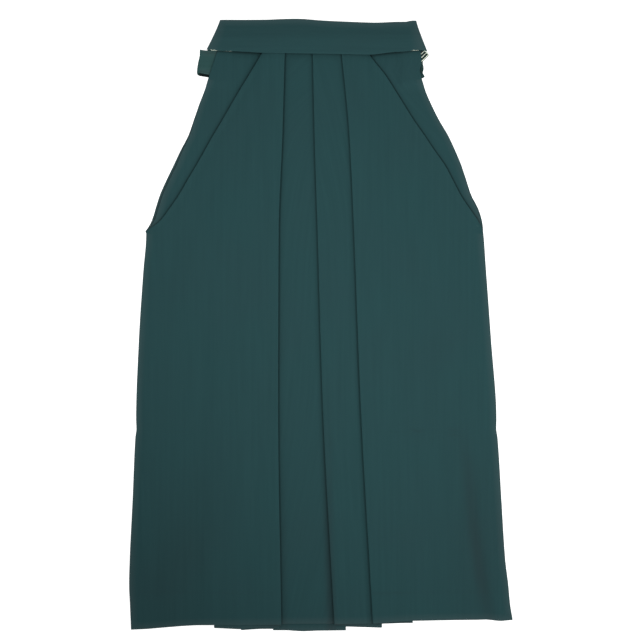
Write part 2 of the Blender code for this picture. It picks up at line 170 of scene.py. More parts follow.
# %% [markdown]
# ## The lines of the garment
#
# A pleated garment is easiest to describe by its lines: where its sides run, where each fold runs
# from the waist to the hem, and where each layer ends at the hem. They are kept here in millimetres,
# as on a pattern. The folds were pressed with an iron, so they are nearly straight, and one smooth
# curve is drawn through the few places that were measured. A curve that never swings past its own
# points is used, because a side seam has no bumps that nobody drew.

# %% Units, and one smooth curve through measured places
MM = 0.001


def smooth(table, at):
    """Reads a value from (place, value) pairs by one smooth curve that never swings past them."""
    if at <= table[0][0]:
        return table[0][1]
    if at >= table[-1][0]:
        return table[-1][1]
    slopes = [(b[1] - a[1]) / (b[0] - a[0]) for a, b in zip(table, table[1:])]
    i = next(k for k in range(len(slopes)) if at <= table[k + 1][0])
    before = slopes[i - 1] if i > 0 else slopes[i]
    after = slopes[i + 1] if i + 1 < len(slopes) else slopes[i]
    start = 0.0 if before * slopes[i] <= 0 else 2 * before * slopes[i] / (before + slopes[i])
    end = 0.0 if after * slopes[i] <= 0 else 2 * after * slopes[i] / (after + slopes[i])
    step = table[i + 1][0] - table[i][0]
    t = (at - table[i][0]) / step
    value = table[i][1] * (1 + 2 * t) * (1 - t) ** 2 + table[i + 1][1] * t * t * (3 - 2 * t)
    return value + step * (start * t * (1 - t) ** 2 - end * t * t * (1 - t))


def straight(table, at):
    """Reads a value from (place, value) pairs by straight lines, flat past the ends."""
    if at <= table[0][0]:
        return table[0][1]
    for (x0, v0), (x1, v1) in zip(table, table[1:]):
        if at <= x1:
            return v0 + (v1 - v0) * (at - x0) / (x1 - x0)
    return table[-1][1]


def fade(distance, width):
    """1 at and before zero, then a soft slope down to 0 at the given width."""
    if distance <= 0:
        return 1.0
    if distance >= width:
        return 0.0
    return 0.5 * (1 + math.cos(math.pi * distance / width))


# %% Where the folds and the outline run
FOLD_LEVELS = (-473.0, -120.0, 148.5, 301.5, 430.0)

# Each fold or inner edge: its x at those heights, from the hem up to the waist.
FOLD_LINES = {
    "outer_under_right": (-169.5, -156.5, -150.5, -129.5, -83.5),
    "second_under": (-126.5, -116.0, -111.5, -102.5, -77.0),
    "left_leg_inner": (-75.5, -78.0, -75.5, -71.0, -66.0),
    "second_edge": (-65.0, -69.5, -68.5, -62.7, -60.0),
    "outer_edge_right": (-62.0, -67.0, -66.0, -60.2, -56.5),
    "centre_edge": (21.5, 3.0, -5.0, -9.8, -12.6),
    "right_leg_inner": (40.5, 28.0, 16.5, 8.5, 2.5),
    "outer_edge_left": (82.9, 63.2, 52.9, 45.6, 33.5),
    "centre_under": (98.0, 82.0, 69.0, 58.0, 42.0),
    "outer_under_left": (147.0, 118.5, 106.5, 86.5, 58.0),
}

# The outline from the hem up: height, right side, right slant, left slant, left side.
OUTLINE = (
    (-473.0, -302.0, -302.0, 306.0, 306.0),
    (-447.5, -303.5, -303.5, 302.3, 302.3),
    (-414.0, -305.0, -305.0, 299.2, 299.2),
    (-374.5, -304.0, -304.0, 294.4, 294.4),
    (-279.0, -299.4, -299.4, 288.3, 288.3),
    (-180.0, -295.0, -295.0, 282.1, 282.1),
    (-166.0, -293.3, -293.3, 280.1, 280.1),
    (-152.0, -293.9, -293.9, 280.4, 280.4),
    (-24.5, -289.4, -289.4, 271.8, 271.8),
    (86.5, -282.2, -282.2, 263.8, 263.8),
    (144.5, -277.6, -277.6, 259.4, 259.4),
    (148.5, -279.3, -278.5, 258.8, 259.3),
    (154.0, -275.3, -269.8, 256.6, 259.1),
    (166.0, -268.8, -254.5, 250.5, 257.4),
    (185.0, -262.9, -240.0, 237.0, 251.4),
    (206.0, -256.3, -225.5, 223.0, 240.5),
    (230.0, -245.7, -211.5, 210.5, 232.6),
    (253.5, -234.4, -197.5, 198.0, 224.6),
    (277.5, -223.1, -184.0, 181.0, 214.5),
    (301.5, -210.6, -170.5, 165.0, 203.2),
    (325.0, -202.4, -156.5, 148.5, 189.4),
    (349.0, -194.0, -142.5, 133.5, 177.3),
    (373.0, -184.7, -128.5, 118.5, 167.0),
    (396.5, -177.1, -114.0, 103.5, 160.0),
    (420.5, -169.1, -99.5, 84.5, 158.3),
    (443.0, -162.0, -86.5, 68.5, 156.0),
)
SIDES = ("side_right", "slant_right", "slant_left", "side_left")
OUTLINES = {name: [(row[0], row[1 + i]) for row in OUTLINE] for i, name in enumerate(SIDES)}

# The slanted edges hide a tuck of this width.
TUCK = 16.0

# How far inside the back's edge each side strip ends: pairs of height and distance.
STRIP_INSETS = {
    "right": ((146.0, 2.5), (166.0, 4.5), (253.5, 5.0), (300.0, 2.5), (350.0, 0.0), (443.0, 0.0)),
    "left": (
        (146.0, 1.5), (166.0, 2.5), (206.0, 2.0), (253.5, 0.0), (398.0, 0.0), (402.5, 1.4),
        (406.5, 1.4), (411.0, -0.5), (418.0, -2.4), (434.0, -2.6), (443.0, -1.5),
    ),
}

# The hem of each layer: pairs of x and y, from its right edge to its left.
HEMS = {
    "outer_run_right": (
        (-302.0, -486.3), (-273.5, -484.9), (-248.0, -482.7), (-222.6, -480.6), (-197.0, -479.0),
        (-171.0, -478.0), (-63.0, -476.0),
    ),
    "outer_return_right": ((-169.5, -483.0), (-127.0, -483.9), (-63.0, -478.0)),
    "second_run": ((-169.5, -482.6), (-127.0, -483.3), (-66.0, -480.5)),
    "second_return": ((-126.5, -486.1), (-66.0, -482.0)),
    "right_inner_run": ((-126.5, -485.6), (-100.0, -483.5), (-63.0, -476.5), (40.5, -476.0)),
    "left_inner_run": ((-75.5, -487.2), (-30.0, -487.2), (40.5, -481.3), (98.0, -483.1)),
    "centre_return": ((20.0, -477.5), (98.0, -481.6)),
    "centre_run": ((20.0, -475.6), (85.0, -476.2), (147.0, -475.4)),
    "outer_return_left": ((85.0, -475.8), (147.0, -475.0)),
    "outer_run_left": (
        (85.0, -475.0), (147.0, -471.2), (251.0, -470.6), (264.0, -470.2), (289.0, -472.2),
        (306.0, -470.8),
    ),
    "back_right": (
        (-302.0, -485.5), (-171.0, -477.0), (-126.5, -485.6), (-76.0, -484.6), (-44.0, -487.5),
        (-28.0, -488.5), (-6.0, -487.5), (41.0, -487.0),
    ),
    "back_left": ((-75.5, -487.0), (-30.0, -486.5), (40.5, -480.5), (98.0, -473.5), (306.0, -469.6)),
}

# The waistband from its right end to its left: its top edge, its lower edge, and how high the lower
# edge lies over the pleats.
BandRow = namedtuple("BandRow", "top_x top_y low_x low_y low_z")
BAND = tuple(BandRow(*row) for row in (
    (-160.0, 485.2, -181.0, 436.8, 7.1),
    (-155.5, 485.3, -172.5, 436.6, 7.2),
    (-150.5, 485.4, -164.5, 435.2, 7.3),
    (-121.5, 485.3, -131.0, 433.5, 8.6),
    (-83.5, 485.6, -93.0, 431.0, 10.4),
    (-61.0, 486.6, -70.5, 430.6, 10.4),
    (-39.0, 487.0, -48.5, 430.2, 10.4),
    (7.0, 484.0, 2.5, 429.4, 10.2),
    (47.0, 482.2, 43.5, 428.9, 9.4),
    (88.0, 480.9, 78.5, 428.3, 9.0),
    (120.0, 482.1, 117.0, 432.4, 9.0),
    (136.0, 482.3, 138.5, 433.6, 9.0),
    (141.0, 483.3, 146.5, 435.2, 9.0),
    (147.5, 484.2, 157.0, 435.7, 9.0),
    (152.5, 484.0, 169.5, 433.8, 9.0),
))
BAND_LOWER_EDGE = tuple((row.low_x, row.low_y) for row in BAND)


@functools.lru_cache(maxsize=None)
def lines_at(level):
    """The x of every line of the garment at one height."""
    found = {name: smooth(tuple(zip(FOLD_LEVELS, xs)), level) for name, xs in FOLD_LINES.items()}
    found.update({name: smooth(table, level) for name, table in OUTLINES.items()})
    under_right = found["outer_under_right"] - found["slant_right"]
    under_left = found["slant_left"] - found["outer_under_left"]
    found["tuck_right"] = found["slant_right"] + min(TUCK, 0.5 * under_right)
    found["tuck_left"] = found["slant_left"] - min(TUCK, 0.5 * under_left)
    return found


print("width at the hem in mm:", lines_at(-473.0)["side_left"] - lines_at(-473.0)["side_right"])

# %% [markdown]
# ## The stack of layers
#
# Where the cloth is pleated, up to eight layers lie on each other. Cloth can't pass through cloth,
# so the height of each layer is not drawn by hand: it is the number of layers under it, times the
# wall and the air between two walls. Just past a hidden fold the cloth above comes down again in a
# soft slope, and that slope is what makes the faint upright shading on the big panels.

# %% The stack from the table up, and the height of a layer
WALL = 1.0
GAP = 0.3
PITCH = WALL + GAP

# How far beside a hidden fold the cloth over it takes to come down again.
DRAPE = 38.0
SIDE_FOLD_END = 146.0
SIDE_FOLD_FADE = 40.0

Layer = namedtuple("Layer", "name right left")
STACK = tuple(Layer(*row) for row in (
    ("back_left", "left_leg_inner", "side_left"),
    ("left_inner_run", "left_leg_inner", "centre_under"),
    ("back_right", "side_right", "right_leg_inner"),
    ("side_strip_right", "side_right", "tuck_right"),
    ("side_strip_left", "tuck_left", "side_left"),
    ("right_inner_run", "second_under", "right_leg_inner"),
    ("second_return", "second_under", "second_edge"),
    ("second_run", "outer_under_right", "second_edge"),
    ("outer_return_right", "outer_under_right", "outer_edge_right"),
    ("outer_run_right", "slant_right", "outer_edge_right"),
    ("centre_return", "centre_edge", "centre_under"),
    ("centre_run", "centre_edge", "outer_under_left"),
    ("outer_return_left", "outer_edge_left", "outer_under_left"),
    ("outer_run_left", "outer_edge_left", "slant_left"),
))
LAYERS = {layer.name: layer for layer in STACK}
RIGHT_PLEATS = ("second_return", "second_run", "outer_return_right", "outer_run_right")
LEFT_PLEATS = ("centre_return", "centre_run", "outer_return_left", "outer_run_left")


def cover(layer, x, level):
    """How much of its pitch a layer gives, at one place, to what lies over it."""
    lines = lines_at(level)
    outside = max(lines[layer.right] - x, x - lines[layer.left])
    amount = fade(outside, DRAPE)
    if layer.name.startswith("side_strip"):
        amount *= fade(SIDE_FOLD_END - level, SIDE_FOLD_FADE)
    return amount


def height(name, x, level):
    """The underside of a layer above the table: one pitch for each layer below it."""
    below = STACK[: STACK.index(LAYERS[name])]
    if name in LEFT_PLEATS:
        below = [layer for layer in below if layer.name not in RIGHT_PLEATS]
    return PITCH * sum(cover(layer, x, level) for layer in below)


print("left front's underside in mm:", round(height("outer_run_left", 120.0, 0.0), 2))

# %% [markdown]
# ## Soft swells and dents
#
# Pressed cloth is never dead flat. It keeps a trace of how it was folded for storage, it stands up a little where a
# seam allowance lies inside, and it hangs in broad low waves. Each such wave is drawn here as a stroke: a few points
# with a height at each, and how far it reaches to both sides.
# The strokes are only a millimetre or two high. All layers of a front rise together, so they still
# lie on each other, and nothing rises at the waistband or at the outer seams.

# %% The strokes, and how high they lift the cloth at one place
Stroke = namedtuple("Stroke", "reach points")
STROKES = (
    # The right leg's big panel: one broad wave that leans toward the pleats near the hem.
    Stroke(105.0, (
        (-150, 330, 0.0), (-168, 150, 0.9), (-165, -60, 1.1), (-140, -260, 1.8), (-128, -470, 2.4),
    )),
    # The left leg's big panel.
    Stroke(85.0, (
        (140, 300, 0.0), (168, 120, 0.9), (180, -60, 1.3), (178, -260, 1.2), (176, -470, 0.8),
    )),
    # Seam allowances inside the left side seam make a ridge near the hem, with a trough beside it.
    Stroke(17.0, (
        (243, -150, 0.0), (257, -260, 1.3), (269, -374, 2.3), (279, -440, 2.3), (284, -480, 1.8),
    )),
    Stroke(15.0, (
        (228, -165, 0.0), (238, -262, -0.7), (248, -374, -1.1), (259, -440, -1.0), (264, -480, -0.6),
    )),
    # The right side seam has a lower ridge.
    Stroke(16.0, (
        (-268, 80, 0.0), (-276, -60, 0.5), (-282, -250, 0.8), (-286, -400, 0.9), (-284, -480, 0.5),
    )),
    Stroke(14.0, ((-250, -60, 0.0), (-258, -250, -0.4), (-262, -400, -0.5), (-260, -480, -0.3))),
    # The trace of a crosswise storage fold.
    Stroke(5.0, ((-288, -166, 0.35), (-200, -170, 0.12), (-110, -168, 0.1), (-40, -170, 0.1))),
    Stroke(5.0, (
        (80, -172, 0.1), (146, -167, 0.4), (185, -171, 0.55), (217, -176, 0.4), (272, -171, 0.3),
    )),
    Stroke(9.0, ((140, -178, -0.1), (185, -182, -0.35), (222, -187, -0.2))),
    # Small dents of handling.
    Stroke(5.0, ((-114, 260, 0.0), (-100, 257, -0.35), (-82, 259, 0.0))),
    Stroke(5.0, ((-210, 188, 0.0), (-196, 185, -0.45), (-180, 178, 0.0))),
    Stroke(8.0, ((-222, 120, 0.0), (-205, 60, 0.3), (-196, 0, 0.0))),
    Stroke(10.0, ((222, 140, 0.0), (228, 60, 0.35), (222, -20, 0.0))),
    Stroke(9.0, (
        (96, 210, 0.0), (103, 120, -0.3), (104, 20, -0.35), (112, -90, -0.3), (121, -180, 0.0),
    )),
    Stroke(11.0, ((-228, -240, 0.0), (-222, -330, 0.4), (-226, -430, 0.3), (-230, -480, 0.2))),
    Stroke(12.0, ((208, -300, 0.0), (214, -390, -0.4), (222, -480, -0.3))),
    Stroke(8.0, ((-34, 60, 0.0), (-36, -60, -0.2), (-30, -200, -0.2), (-24, -330, 0.0))),
    Stroke(7.0, ((38, -120, 0.0), (44, -260, 0.25), (52, -420, 0.3), (54, -480, 0.2))),
)
# Painted shade, where the cloth lies in shade. The height of these strokes is a share of darkness.
PAINTED_SHADE_STROKES = (
    # The trough beside the left side seam, and the wide dim strip round it.
    Stroke(17.0, (
        (224, -150, 0.0), (234, -230, 0.11), (245, -330, 0.2), (255, -400, 0.2), (270, -470, 0.1),
    )),
    Stroke(70.0, ((235, -150, 0.0), (250, -260, 0.08), (255, -400, 0.1), (250, -490, 0.04))),
    # The far corner of the right leg, where less light falls.
    Stroke(90.0, ((-230, -200, 0.0), (-215, -330, 0.1), (-240, -420, 0.12), (-250, -490, 0.08))),
    # The shadow beside the middle pleat and the right outer one, toward the hem.
    Stroke(13.0, (
        (8, -60, 0.0), (11, -200, 0.1), (13, -330, 0.22), (15, -420, 0.27), (18, -500, 0.27),
    )),
    Stroke(10.0, ((-60, -200, 0.0), (-59, -330, 0.08), (-58, -420, 0.1), (-57, -500, 0.1))),
    # The line up to which the hem is turned.
    Stroke(4.0, ((84, -427, 0.1), (125, -427, 0.09), (150, -426, 0.04), (290, -426, 0.03))),
    Stroke(4.0, ((-290, -426, 0.03), (-75, -426, 0.04))),
    # The crosswise storage fold.
    Stroke(4.0, ((140, -163, 0.0), (150, -169, 0.1), (158, -170, 0.1), (168, -168, 0.0))),
    Stroke(4.0, ((199, -164, 0.0), (207, -168, 0.1), (215, -169, 0.1), (223, -166, 0.0))),
    Stroke(4.0, ((200, -174, 0.0), (208, -176, 0.09), (216, -176, 0.09), (224, -174, 0.0))),
)
RELIEF_TOP = 424.0
RELIEF_TOP_FADE = 46.0
RELIEF_SIDE_FADE = 26.0


def stroke_height(stroke, x, y):
    """What one stroke gives at one place: full on its line, nothing past its reach."""
    best = stroke.reach
    value = 0.0
    for (x0, y0, h0), (x1, y1, h1) in zip(stroke.points, stroke.points[1:]):
        length = (x1 - x0) ** 2 + (y1 - y0) ** 2
        t = min(1.0, max(0.0, ((x - x0) * (x1 - x0) + (y - y0) * (y1 - y0)) / length))
        distance = math.hypot(x - x0 - t * (x1 - x0), y - y0 - t * (y1 - y0))
        if distance < best:
            best = distance
            value = h0 + t * (h1 - h0)
    return value * fade(best, stroke.reach)


@functools.lru_cache(maxsize=None)
def relief(x, y):
    """How far the fronts rise above a dead flat stack, in millimetres."""
    lines = lines_at(max(y, FOLD_LEVELS[0]))
    inside = min(x - lines["slant_right"], lines["slant_left"] - x)
    if inside <= 0:
        return 0.0
    total = sum(stroke_height(stroke, x, y) for stroke in STROKES)
    total *= 1 - fade(inside, RELIEF_SIDE_FADE)
    return max(0.0, total) * fade(y - RELIEF_TOP + RELIEF_TOP_FADE, RELIEF_TOP_FADE)


print("the highest stroke in mm:", max(point[2] for stroke in STROKES for point in stroke.points))

# %% [markdown]
# ## Rows of a folded cloth
#
# A pleated front is one long piece of cloth that goes to and fro. It is drawn here as a maker would
# fold it: row by row from the waist to the hem, each row one path through all the layers, with a
# half-round turn at each fold. Every point of the path is a pair, one point on each face of the
# cloth, so the wall has its thickness from the start. At a cut edge or a hem the pairs draw together,
# which rounds the edge. Drawing the rows is surer than a cloth simulation for such crisp pleats: a
# simulation lets eight layers slide and tangle.

# %% Rows, runs and turns
STEP_ACROSS = 4.5
STEP_ALONG = 9.0
TOP_LEVEL = 443.0
HEM_LEVEL = -473.0
HEM_START = -443.0

TURN_OUTER = (PITCH + WALL) / 2
TURN_INNER = GAP / 2
TURN_STEPS = 8

# Rows fall exactly on the heights where the outline has a corner or a nick, and lie closer where a
# faint crosswise line runs.
ROW_STOPS = (
    TOP_LEVEL, 166.0, 154.0, 148.5, 144.5, -152.0, -160.0, -163.0, -166.0, -168.5, -171.0, -173.5,
    -176.0, -180.0, -420.0, -423.5, -426.5, -429.5, -433.0, HEM_START,
)

# A row: the height at which its lines are read, how far on its way to the hem it is, how far above
# the hem it then stops, and the share of the wall's thickness that it has.
Row = namedtuple("Row", "level share above full")
ROWS = [Row(TOP_LEVEL, 0.0, 0.0, 1.0)]
for upper, lower in zip(ROW_STOPS, ROW_STOPS[1:]):
    steps = math.ceil((upper - lower) / STEP_ALONG)
    ROWS += [Row(upper + (lower - upper) * (i + 1) / steps, 0.0, 0.0, 1.0) for i in range(steps)]

# The rows near the hem, by their share of the way to it, stop short of it by the rim's width. The
# last ones round the rim: how far above the hem, and the share of the wall's thickness.
HEM_SHARES = (0.35, 0.7, 1.0)
HEM_RIM_WIDTH = 2.0
HEM_RIM = ((0.9, 0.97), (0.35, 0.8), (0.0, 0.4))
for share in HEM_SHARES:
    ROWS.append(Row(HEM_START + (HEM_LEVEL - HEM_START) * share, share, HEM_RIM_WIDTH, 1.0))
ROWS += [Row(HEM_LEVEL, 1.0, above, full) for above, full in HEM_RIM]

# From the right side to the left, all lines in the order in which a row crosses them.
LINE_ORDER = (
    "slant_right", "tuck_right", "outer_under_right", "second_under", "left_leg_inner", "second_edge",
    "outer_edge_right", "centre_edge", "right_leg_inner", "outer_edge_left", "centre_under",
    "outer_under_left", "tuck_left", "slant_left",
)
CELLS = []
for first, second in zip(LINE_ORDER, LINE_ORDER[1:]):
    widest = max(lines_at(row.level)[second] - lines_at(row.level)[first] for row in ROWS)
    CELLS.append(max(1, math.ceil(widest / STEP_ACROSS)))


def places_between(lines, right, left):
    """The x places that all layers share between two lines, both included."""
    places = [lines[right]]
    for i in range(LINE_ORDER.index(right), LINE_ORDER.index(left)):
        here, there = lines[LINE_ORDER[i]], lines[LINE_ORDER[i + 1]]
        places += [here + (there - here) * (k + 1) / CELLS[i] for k in range(CELLS[i])]
    return places


def row_y(name, x, row):
    """Rows are straight across at first and bend to the layer's own hem near it."""
    if row.share == 0.0:
        return row.level
    return HEM_START + (straight(HEMS[name], x) + row.above - HEM_START) * row.share


# Pressed edges stand up a little, and more toward the hem. For each edge: the layers that stand up,
# the height under the waistband and at the hem, and how far into the panel the rise reaches.
EDGE_LIFTS = (
    ("outer_edge_right", ("outer_return_right", "outer_run_right"), 0.9, 1.6, 26.0),
    ("centre_edge", ("centre_return", "centre_run"), 0.3, 2.2, 26.0),
    ("outer_edge_left", ("outer_return_left", "outer_run_left"), 0.3, 1.6, 26.0),
    ("slant_right", ("outer_run_right",), 1.3, 1.3, 12.0),
    ("slant_left", ("outer_run_left",), 1.3, 1.3, 12.0),
)
EDGE_LIFT_START = 424.0
EDGE_LIFT_START_FADE = 18.0
INNER_RUN_RISE = 20.0


def lift(name, x, y, level):
    """What the relief and the pressed edges add to a layer's height."""
    if name.startswith("back"):
        return 0.0
    raised = relief(round(x, 3), round(y, 3))
    if name == "left_inner_run":
        raised *= fade(lines_at(level)["centre_under"] - x, INNER_RUN_RISE)
    started = fade(y - EDGE_LIFT_START + EDGE_LIFT_START_FADE, EDGE_LIFT_START_FADE)
    for edge, layers, at_waist, at_hem, reach in EDGE_LIFTS:
        if name in layers:
            beside = abs(x - lines_at(level)[edge])
            down = min(1.0, max(0.0, (TOP_LEVEL - y) / (TOP_LEVEL - HEM_LEVEL)))
            at_edge = at_waist + (at_hem - at_waist) * down * down
            if edge.startswith("slant"):
                at_edge *= 1 - fade(level - SIDE_FOLD_END, SIDE_FOLD_FADE)
            raised += at_edge * started * fade(beside, reach)
    return raised


def layer_z(name, x, y, level):
    """The underside of a layer of the fronts above the table, swells and lifted edges included."""
    return height(name, x, level) + lift(name, x, y, level)


# Two points straight across the cloth's wall from each other. With them go two distances in millimetres that the
# finish uses: how far the place lies beside or below the edge of the cloth over it, where painted shade darkens it,
# and how far it lies inside the garment's own rim, where painted light makes it paler.
FAR = 50.0
Pair = namedtuple("Pair", "first second beside rim")


def drawn_together(first, second, full, beside=FAR, rim=FAR):
    """A pair of points moved toward their middle, so that the wall keeps a share of its thickness."""
    middle = [(a + b) / 2 for a, b in zip(first, second)]
    moved = [[m + (value - m) * full for value, m in zip(point, middle)] for point in (first, second)]
    return Pair(tuple(moved[0]), tuple(moved[1]), min(beside, FAR), min(rim, FAR))


def turned(pair):
    """The same pair on a stretch of cloth that lies face down."""
    return Pair(pair.second, pair.first, pair.beside, pair.rim)


# Which layer shows at the hem, from the right side to the left: the line where it ends, the layer.
SHOWN_AT_HEM = (
    ("outer_edge_right", "outer_run_right"), ("centre_edge", "right_inner_run"),
    ("outer_edge_left", "centre_run"), ("side_left", "outer_run_left"),
)


def beside_edge(name, x, y, level):
    """How far a place on a layer lies from the edge of the cloth over it, in millimetres."""
    lines = lines_at(level)
    nearest = FAR
    if name == "right_inner_run":
        nearest = min(x - lines["outer_edge_right"], lines["centre_edge"] - x)
    elif name == "centre_run":
        nearest = lines["outer_edge_left"] - x
    elif name == "back_right" and level > SIDE_FOLD_END:
        nearest = lines["side_right"] + straight(STRIP_INSETS["right"], level) - x
    shown = next((layer for line, layer in SHOWN_AT_HEM if x <= lines[line]), "outer_run_left")
    if name != shown and level < HEM_START:
        nearest = min(nearest if nearest > 0 else FAR, straight(HEMS[shown], x) - y)
    if name == shown:
        nearest = min(nearest, straight(BAND_LOWER_EDGE, x) - y)
    return max(0.0, nearest)


def inside_rim(name, x, y, level):
    """How far a place on a layer lies inside its own hem and the garment's sides, in millimetres."""
    lines = lines_at(level)
    inside = y - straight(HEMS[name], x)
    if level < SIDE_FOLD_END or name.startswith("back"):
        inside = min(inside, x - lines["side_right"], lines["side_left"] - x)
    return inside


def run_pairs(name, row, direction, trim_right, trim_left):
    """One layer of one row as pairs of points, drawn in the given direction."""
    layer = LAYERS[name]
    places = places_between(lines_at(row.level), layer.right, layer.left)
    pairs = []
    for i, x in enumerate(places):
        y = row_y(name, x, row)
        z = layer_z(name, x, y, row.level)
        if i == 0 and trim_right:
            x += TURN_OUTER
        if i == len(places) - 1 and trim_left:
            x -= TURN_OUTER
        beside = beside_edge(name, x, y, row.level)
        rim = inside_rim(name, x, y, row.level)
        pair = drawn_together((x, y, z + WALL), (x, y, z), row.full, beside, rim)
        pairs.append(pair if direction > 0 else turned(pair))
    return pairs if direction > 0 else pairs[::-1]


def turn_pairs(first, second, row, direction):
    """The half-round fold between two layers of one row."""
    layer = LAYERS[first]
    edge = lines_at(row.level)[layer.left if direction > 0 else layer.right]
    centre_x = edge - direction * TURN_OUTER
    y_first, y_second = row_y(first, edge, row), row_y(second, edge, row)
    z_first = layer_z(first, edge, y_first, row.level)
    z_second = layer_z(second, edge, y_second, row.level)
    centre_z = (z_first + z_second + WALL) / 2
    rising = 1 if z_second > z_first else -1
    pairs = []
    for step in range(1, TURN_STEPS):
        angle = math.pi * step / TURN_STEPS
        y = y_first + (y_second - y_first) * step / TURN_STEPS
        outer, inner = (
            (
                centre_x + direction * radius * math.sin(angle),
                y,
                centre_z - rising * radius * math.cos(angle),
            )
            for radius in (TURN_OUTER, TURN_INNER)
        )
        pair = drawn_together(outer, inner, row.full)
        drawn_over = (direction > 0) == (rising < 0)
        pairs.append(pair if drawn_over else turned(pair))
    return pairs


# %% Small helpers for objects
# Faces that meet at less than this angle are shaded as one smooth surface.
SMOOTH_ANGLE = math.radians(50)


def linked(name, data):
    """A new object around its data, in the scene."""
    thing = bpy.data.objects.new(name, data)
    bpy.context.scene.collection.objects.link(thing)
    return thing


def select_only(piece):
    """Selects one piece and nothing else, because an operator acts on all that is selected."""
    bpy.ops.object.select_all(action="DESELECT")
    piece.select_set(True)
    bpy.context.view_layer.objects.active = piece


# %% Rounded side edges, and a closed wall with its own cloth coordinates
# How far in from an edge, and the share of the wall's thickness there.
EDGE_RIM = ((0.8, 1.0), (0.3, 0.85), (0.0, 0.45))


def rounded_end(end, inner):
    """Three pairs in place of a row's last one, which round the cut or seamed edge."""
    across = math.dist(end[0], inner[0])
    pairs = []
    for distance, full in EDGE_RIM:
        t = min(0.9, distance / across)
        moved = [[a + (b - a) * t for a, b in zip(end[side], inner[side])] for side in (0, 1)]
        pairs.append(drawn_together(moved[0], moved[1], full, end.beside, end.rim))
    return pairs


def with_round_ends(pairs):
    """A row whose first and last pairs are rounded."""
    return rounded_end(pairs[0], pairs[1])[::-1] + pairs[1:-1] + rounded_end(pairs[-1], pairs[-2])


def closed_wall(name, rows, anchor=0):
    """One closed piece through rows of pairs. Its UV map is the unfolded cloth, in metres.

    The map's u is the way along the cloth. In each row it starts from the x of the anchor point, so
    the threads stay upright there.
    """
    columns = len(rows[0])
    pairs = [pair for row in rows for pair in row]
    points = [tuple(value * MM for value in point) for pair in pairs for point in pair[:2]]
    unfolded = []
    for row in rows:
        along = [0.0]
        for here, there in zip(row, row[1:]):
            steps = math.dist(here.first, there.first) + math.dist(here.second, there.second)
            along.append(along[-1] + steps / 2)
        start = row[anchor].first[0] - along[anchor]
        unfolded += [((start + way) * MM, pair.first[1] * MM) for way, pair in zip(along, row)]
    faces = []

    def at(r, c, side):
        return 2 * (r * columns + c) + side

    for r in range(len(rows) - 1):
        for c in range(columns - 1):
            faces.append((at(r, c, 0), at(r, c + 1, 0), at(r + 1, c + 1, 0), at(r + 1, c, 0)))
            faces.append((at(r, c, 1), at(r + 1, c, 1), at(r + 1, c + 1, 1), at(r, c + 1, 1)))
        for c in (0, columns - 1):
            faces.append((at(r, c, 0), at(r + 1, c, 0), at(r + 1, c, 1), at(r, c, 1)))
    for r in (0, len(rows) - 1):
        for c in range(columns - 1):
            faces.append((at(r, c, 0), at(r, c, 1), at(r, c + 1, 1), at(r, c + 1, 0)))
    mesh = bpy.data.meshes.new(name)
    mesh.from_pydata(points, [], faces)
    uv = mesh.uv_layers.new(name="cloth")
    for loop in mesh.loops:
        uv.data[loop.index].uv = unfolded[loop.vertex_index // 2]
    measures = {
        "beside_edge": [pair.beside for pair in pairs],
        "inside_rim": [pair.rim for pair in pairs],
        # Painted shade from the strokes, as a share of darkness.
        "deeper": [sum(stroke_height(stroke, *pair.first[:2]) for stroke in PAINTED_SHADE_STROKES) for pair in pairs],
    }
    for attribute, values in measures.items():
        on_both_faces = [value for value in values for _ in (0, 1)]
        mesh.attributes.new(attribute, "FLOAT", "POINT").data.foreach_set("value", on_both_faces)
    shape = bmesh.new()
    shape.from_mesh(mesh)
    bmesh.ops.recalc_face_normals(shape, faces=shape.faces)
    shape.to_mesh(mesh)
    shape.free()
    piece = linked(name, mesh)
    select_only(piece)
    bpy.ops.object.shade_smooth_by_angle(angle=SMOOTH_ANGLE)
    print(name, "has", sum(len(face.vertices) - 2 for face in mesh.polygons), "triangles")
    return piece


# %% [markdown]
# ## The cloth: woven polyester twill
#
# Hakama cloth of this kind is a dense polyester twill with a dull face. Its threads are a third of a
# millimetre apart, too fine to show from where the camera stands, so the twill ribs are drawn coarser
# and very faint. Three things give it life: the ribs, long thin streaks where a thread is a shade
# darker, and broad clouds of tone. The shine is low, because a matt yarn scatters the light, and a
# touch of sheen lightens it at a flat angle, as the fuzz on a yarn does.
#
# Two more things were measured while the cloth was drawn, and both are painted into its colour. Beside and below the
# edge of a higher layer little light gets in, so painted shade makes the cloth darker there. At the garment's own rim
# the cloth rolls over the bright board, so painted light makes it a shade paler. Strokes of painted shade also darken
# it in troughs, in folds and at the far corner of the right leg.

# %% Colour and node helpers
def linear(hex_colour):
    """An sRGB colour in hex, such as 294649, as the linear colour that a shader wants."""
    values = [int(hex_colour[i:i + 2], 16) / 255 for i in (0, 2, 4)]
    return tuple(v / 12.92 if v <= 0.04045 else ((v + 0.055) / 1.055) ** 2.4 for v in values) + (1.0,)


def add_node(tree, kind, settings=None, values=None, links=None):
    """Adds a node: its settings by name, its sockets' values, and links from (node, output)."""
    node = tree.nodes.new(kind)
    for name, value in (settings or {}).items():
        setattr(node, name, value)
    for socket, value in (values or {}).items():
        node.inputs[socket].default_value = value
    for socket, (source, output) in (links or {}).items():
        tree.links.new(source.outputs[output], node.inputs[socket])
    return node


def new_material(name):
    """An empty material with an output node."""
    material = bpy.data.materials.new(name)
    material.use_nodes = True
    material.node_tree.nodes.clear()
    output = material.node_tree.nodes.new("ShaderNodeOutputMaterial")
    return material, material.node_tree, output


# %% The twill
# A wave texture's bands repeat every 2 pi / 20 units, and its diagonal ones every 2 pi / 10.
BAND_PERIOD = 2 * math.pi / 20
DIAGONAL_PERIOD = 2 * math.pi / 10
TWILL_RIB_MM = 1.7
WEFT_MM = 1.3
STREAK_MM = 5.0
STREAK_LENGTH_MM = 160.0
# What the wefts give beside the ribs, and what that weave gives beside the streaks.
WEFT_SHARE = 0.5
WEAVE_SHARE = 0.12
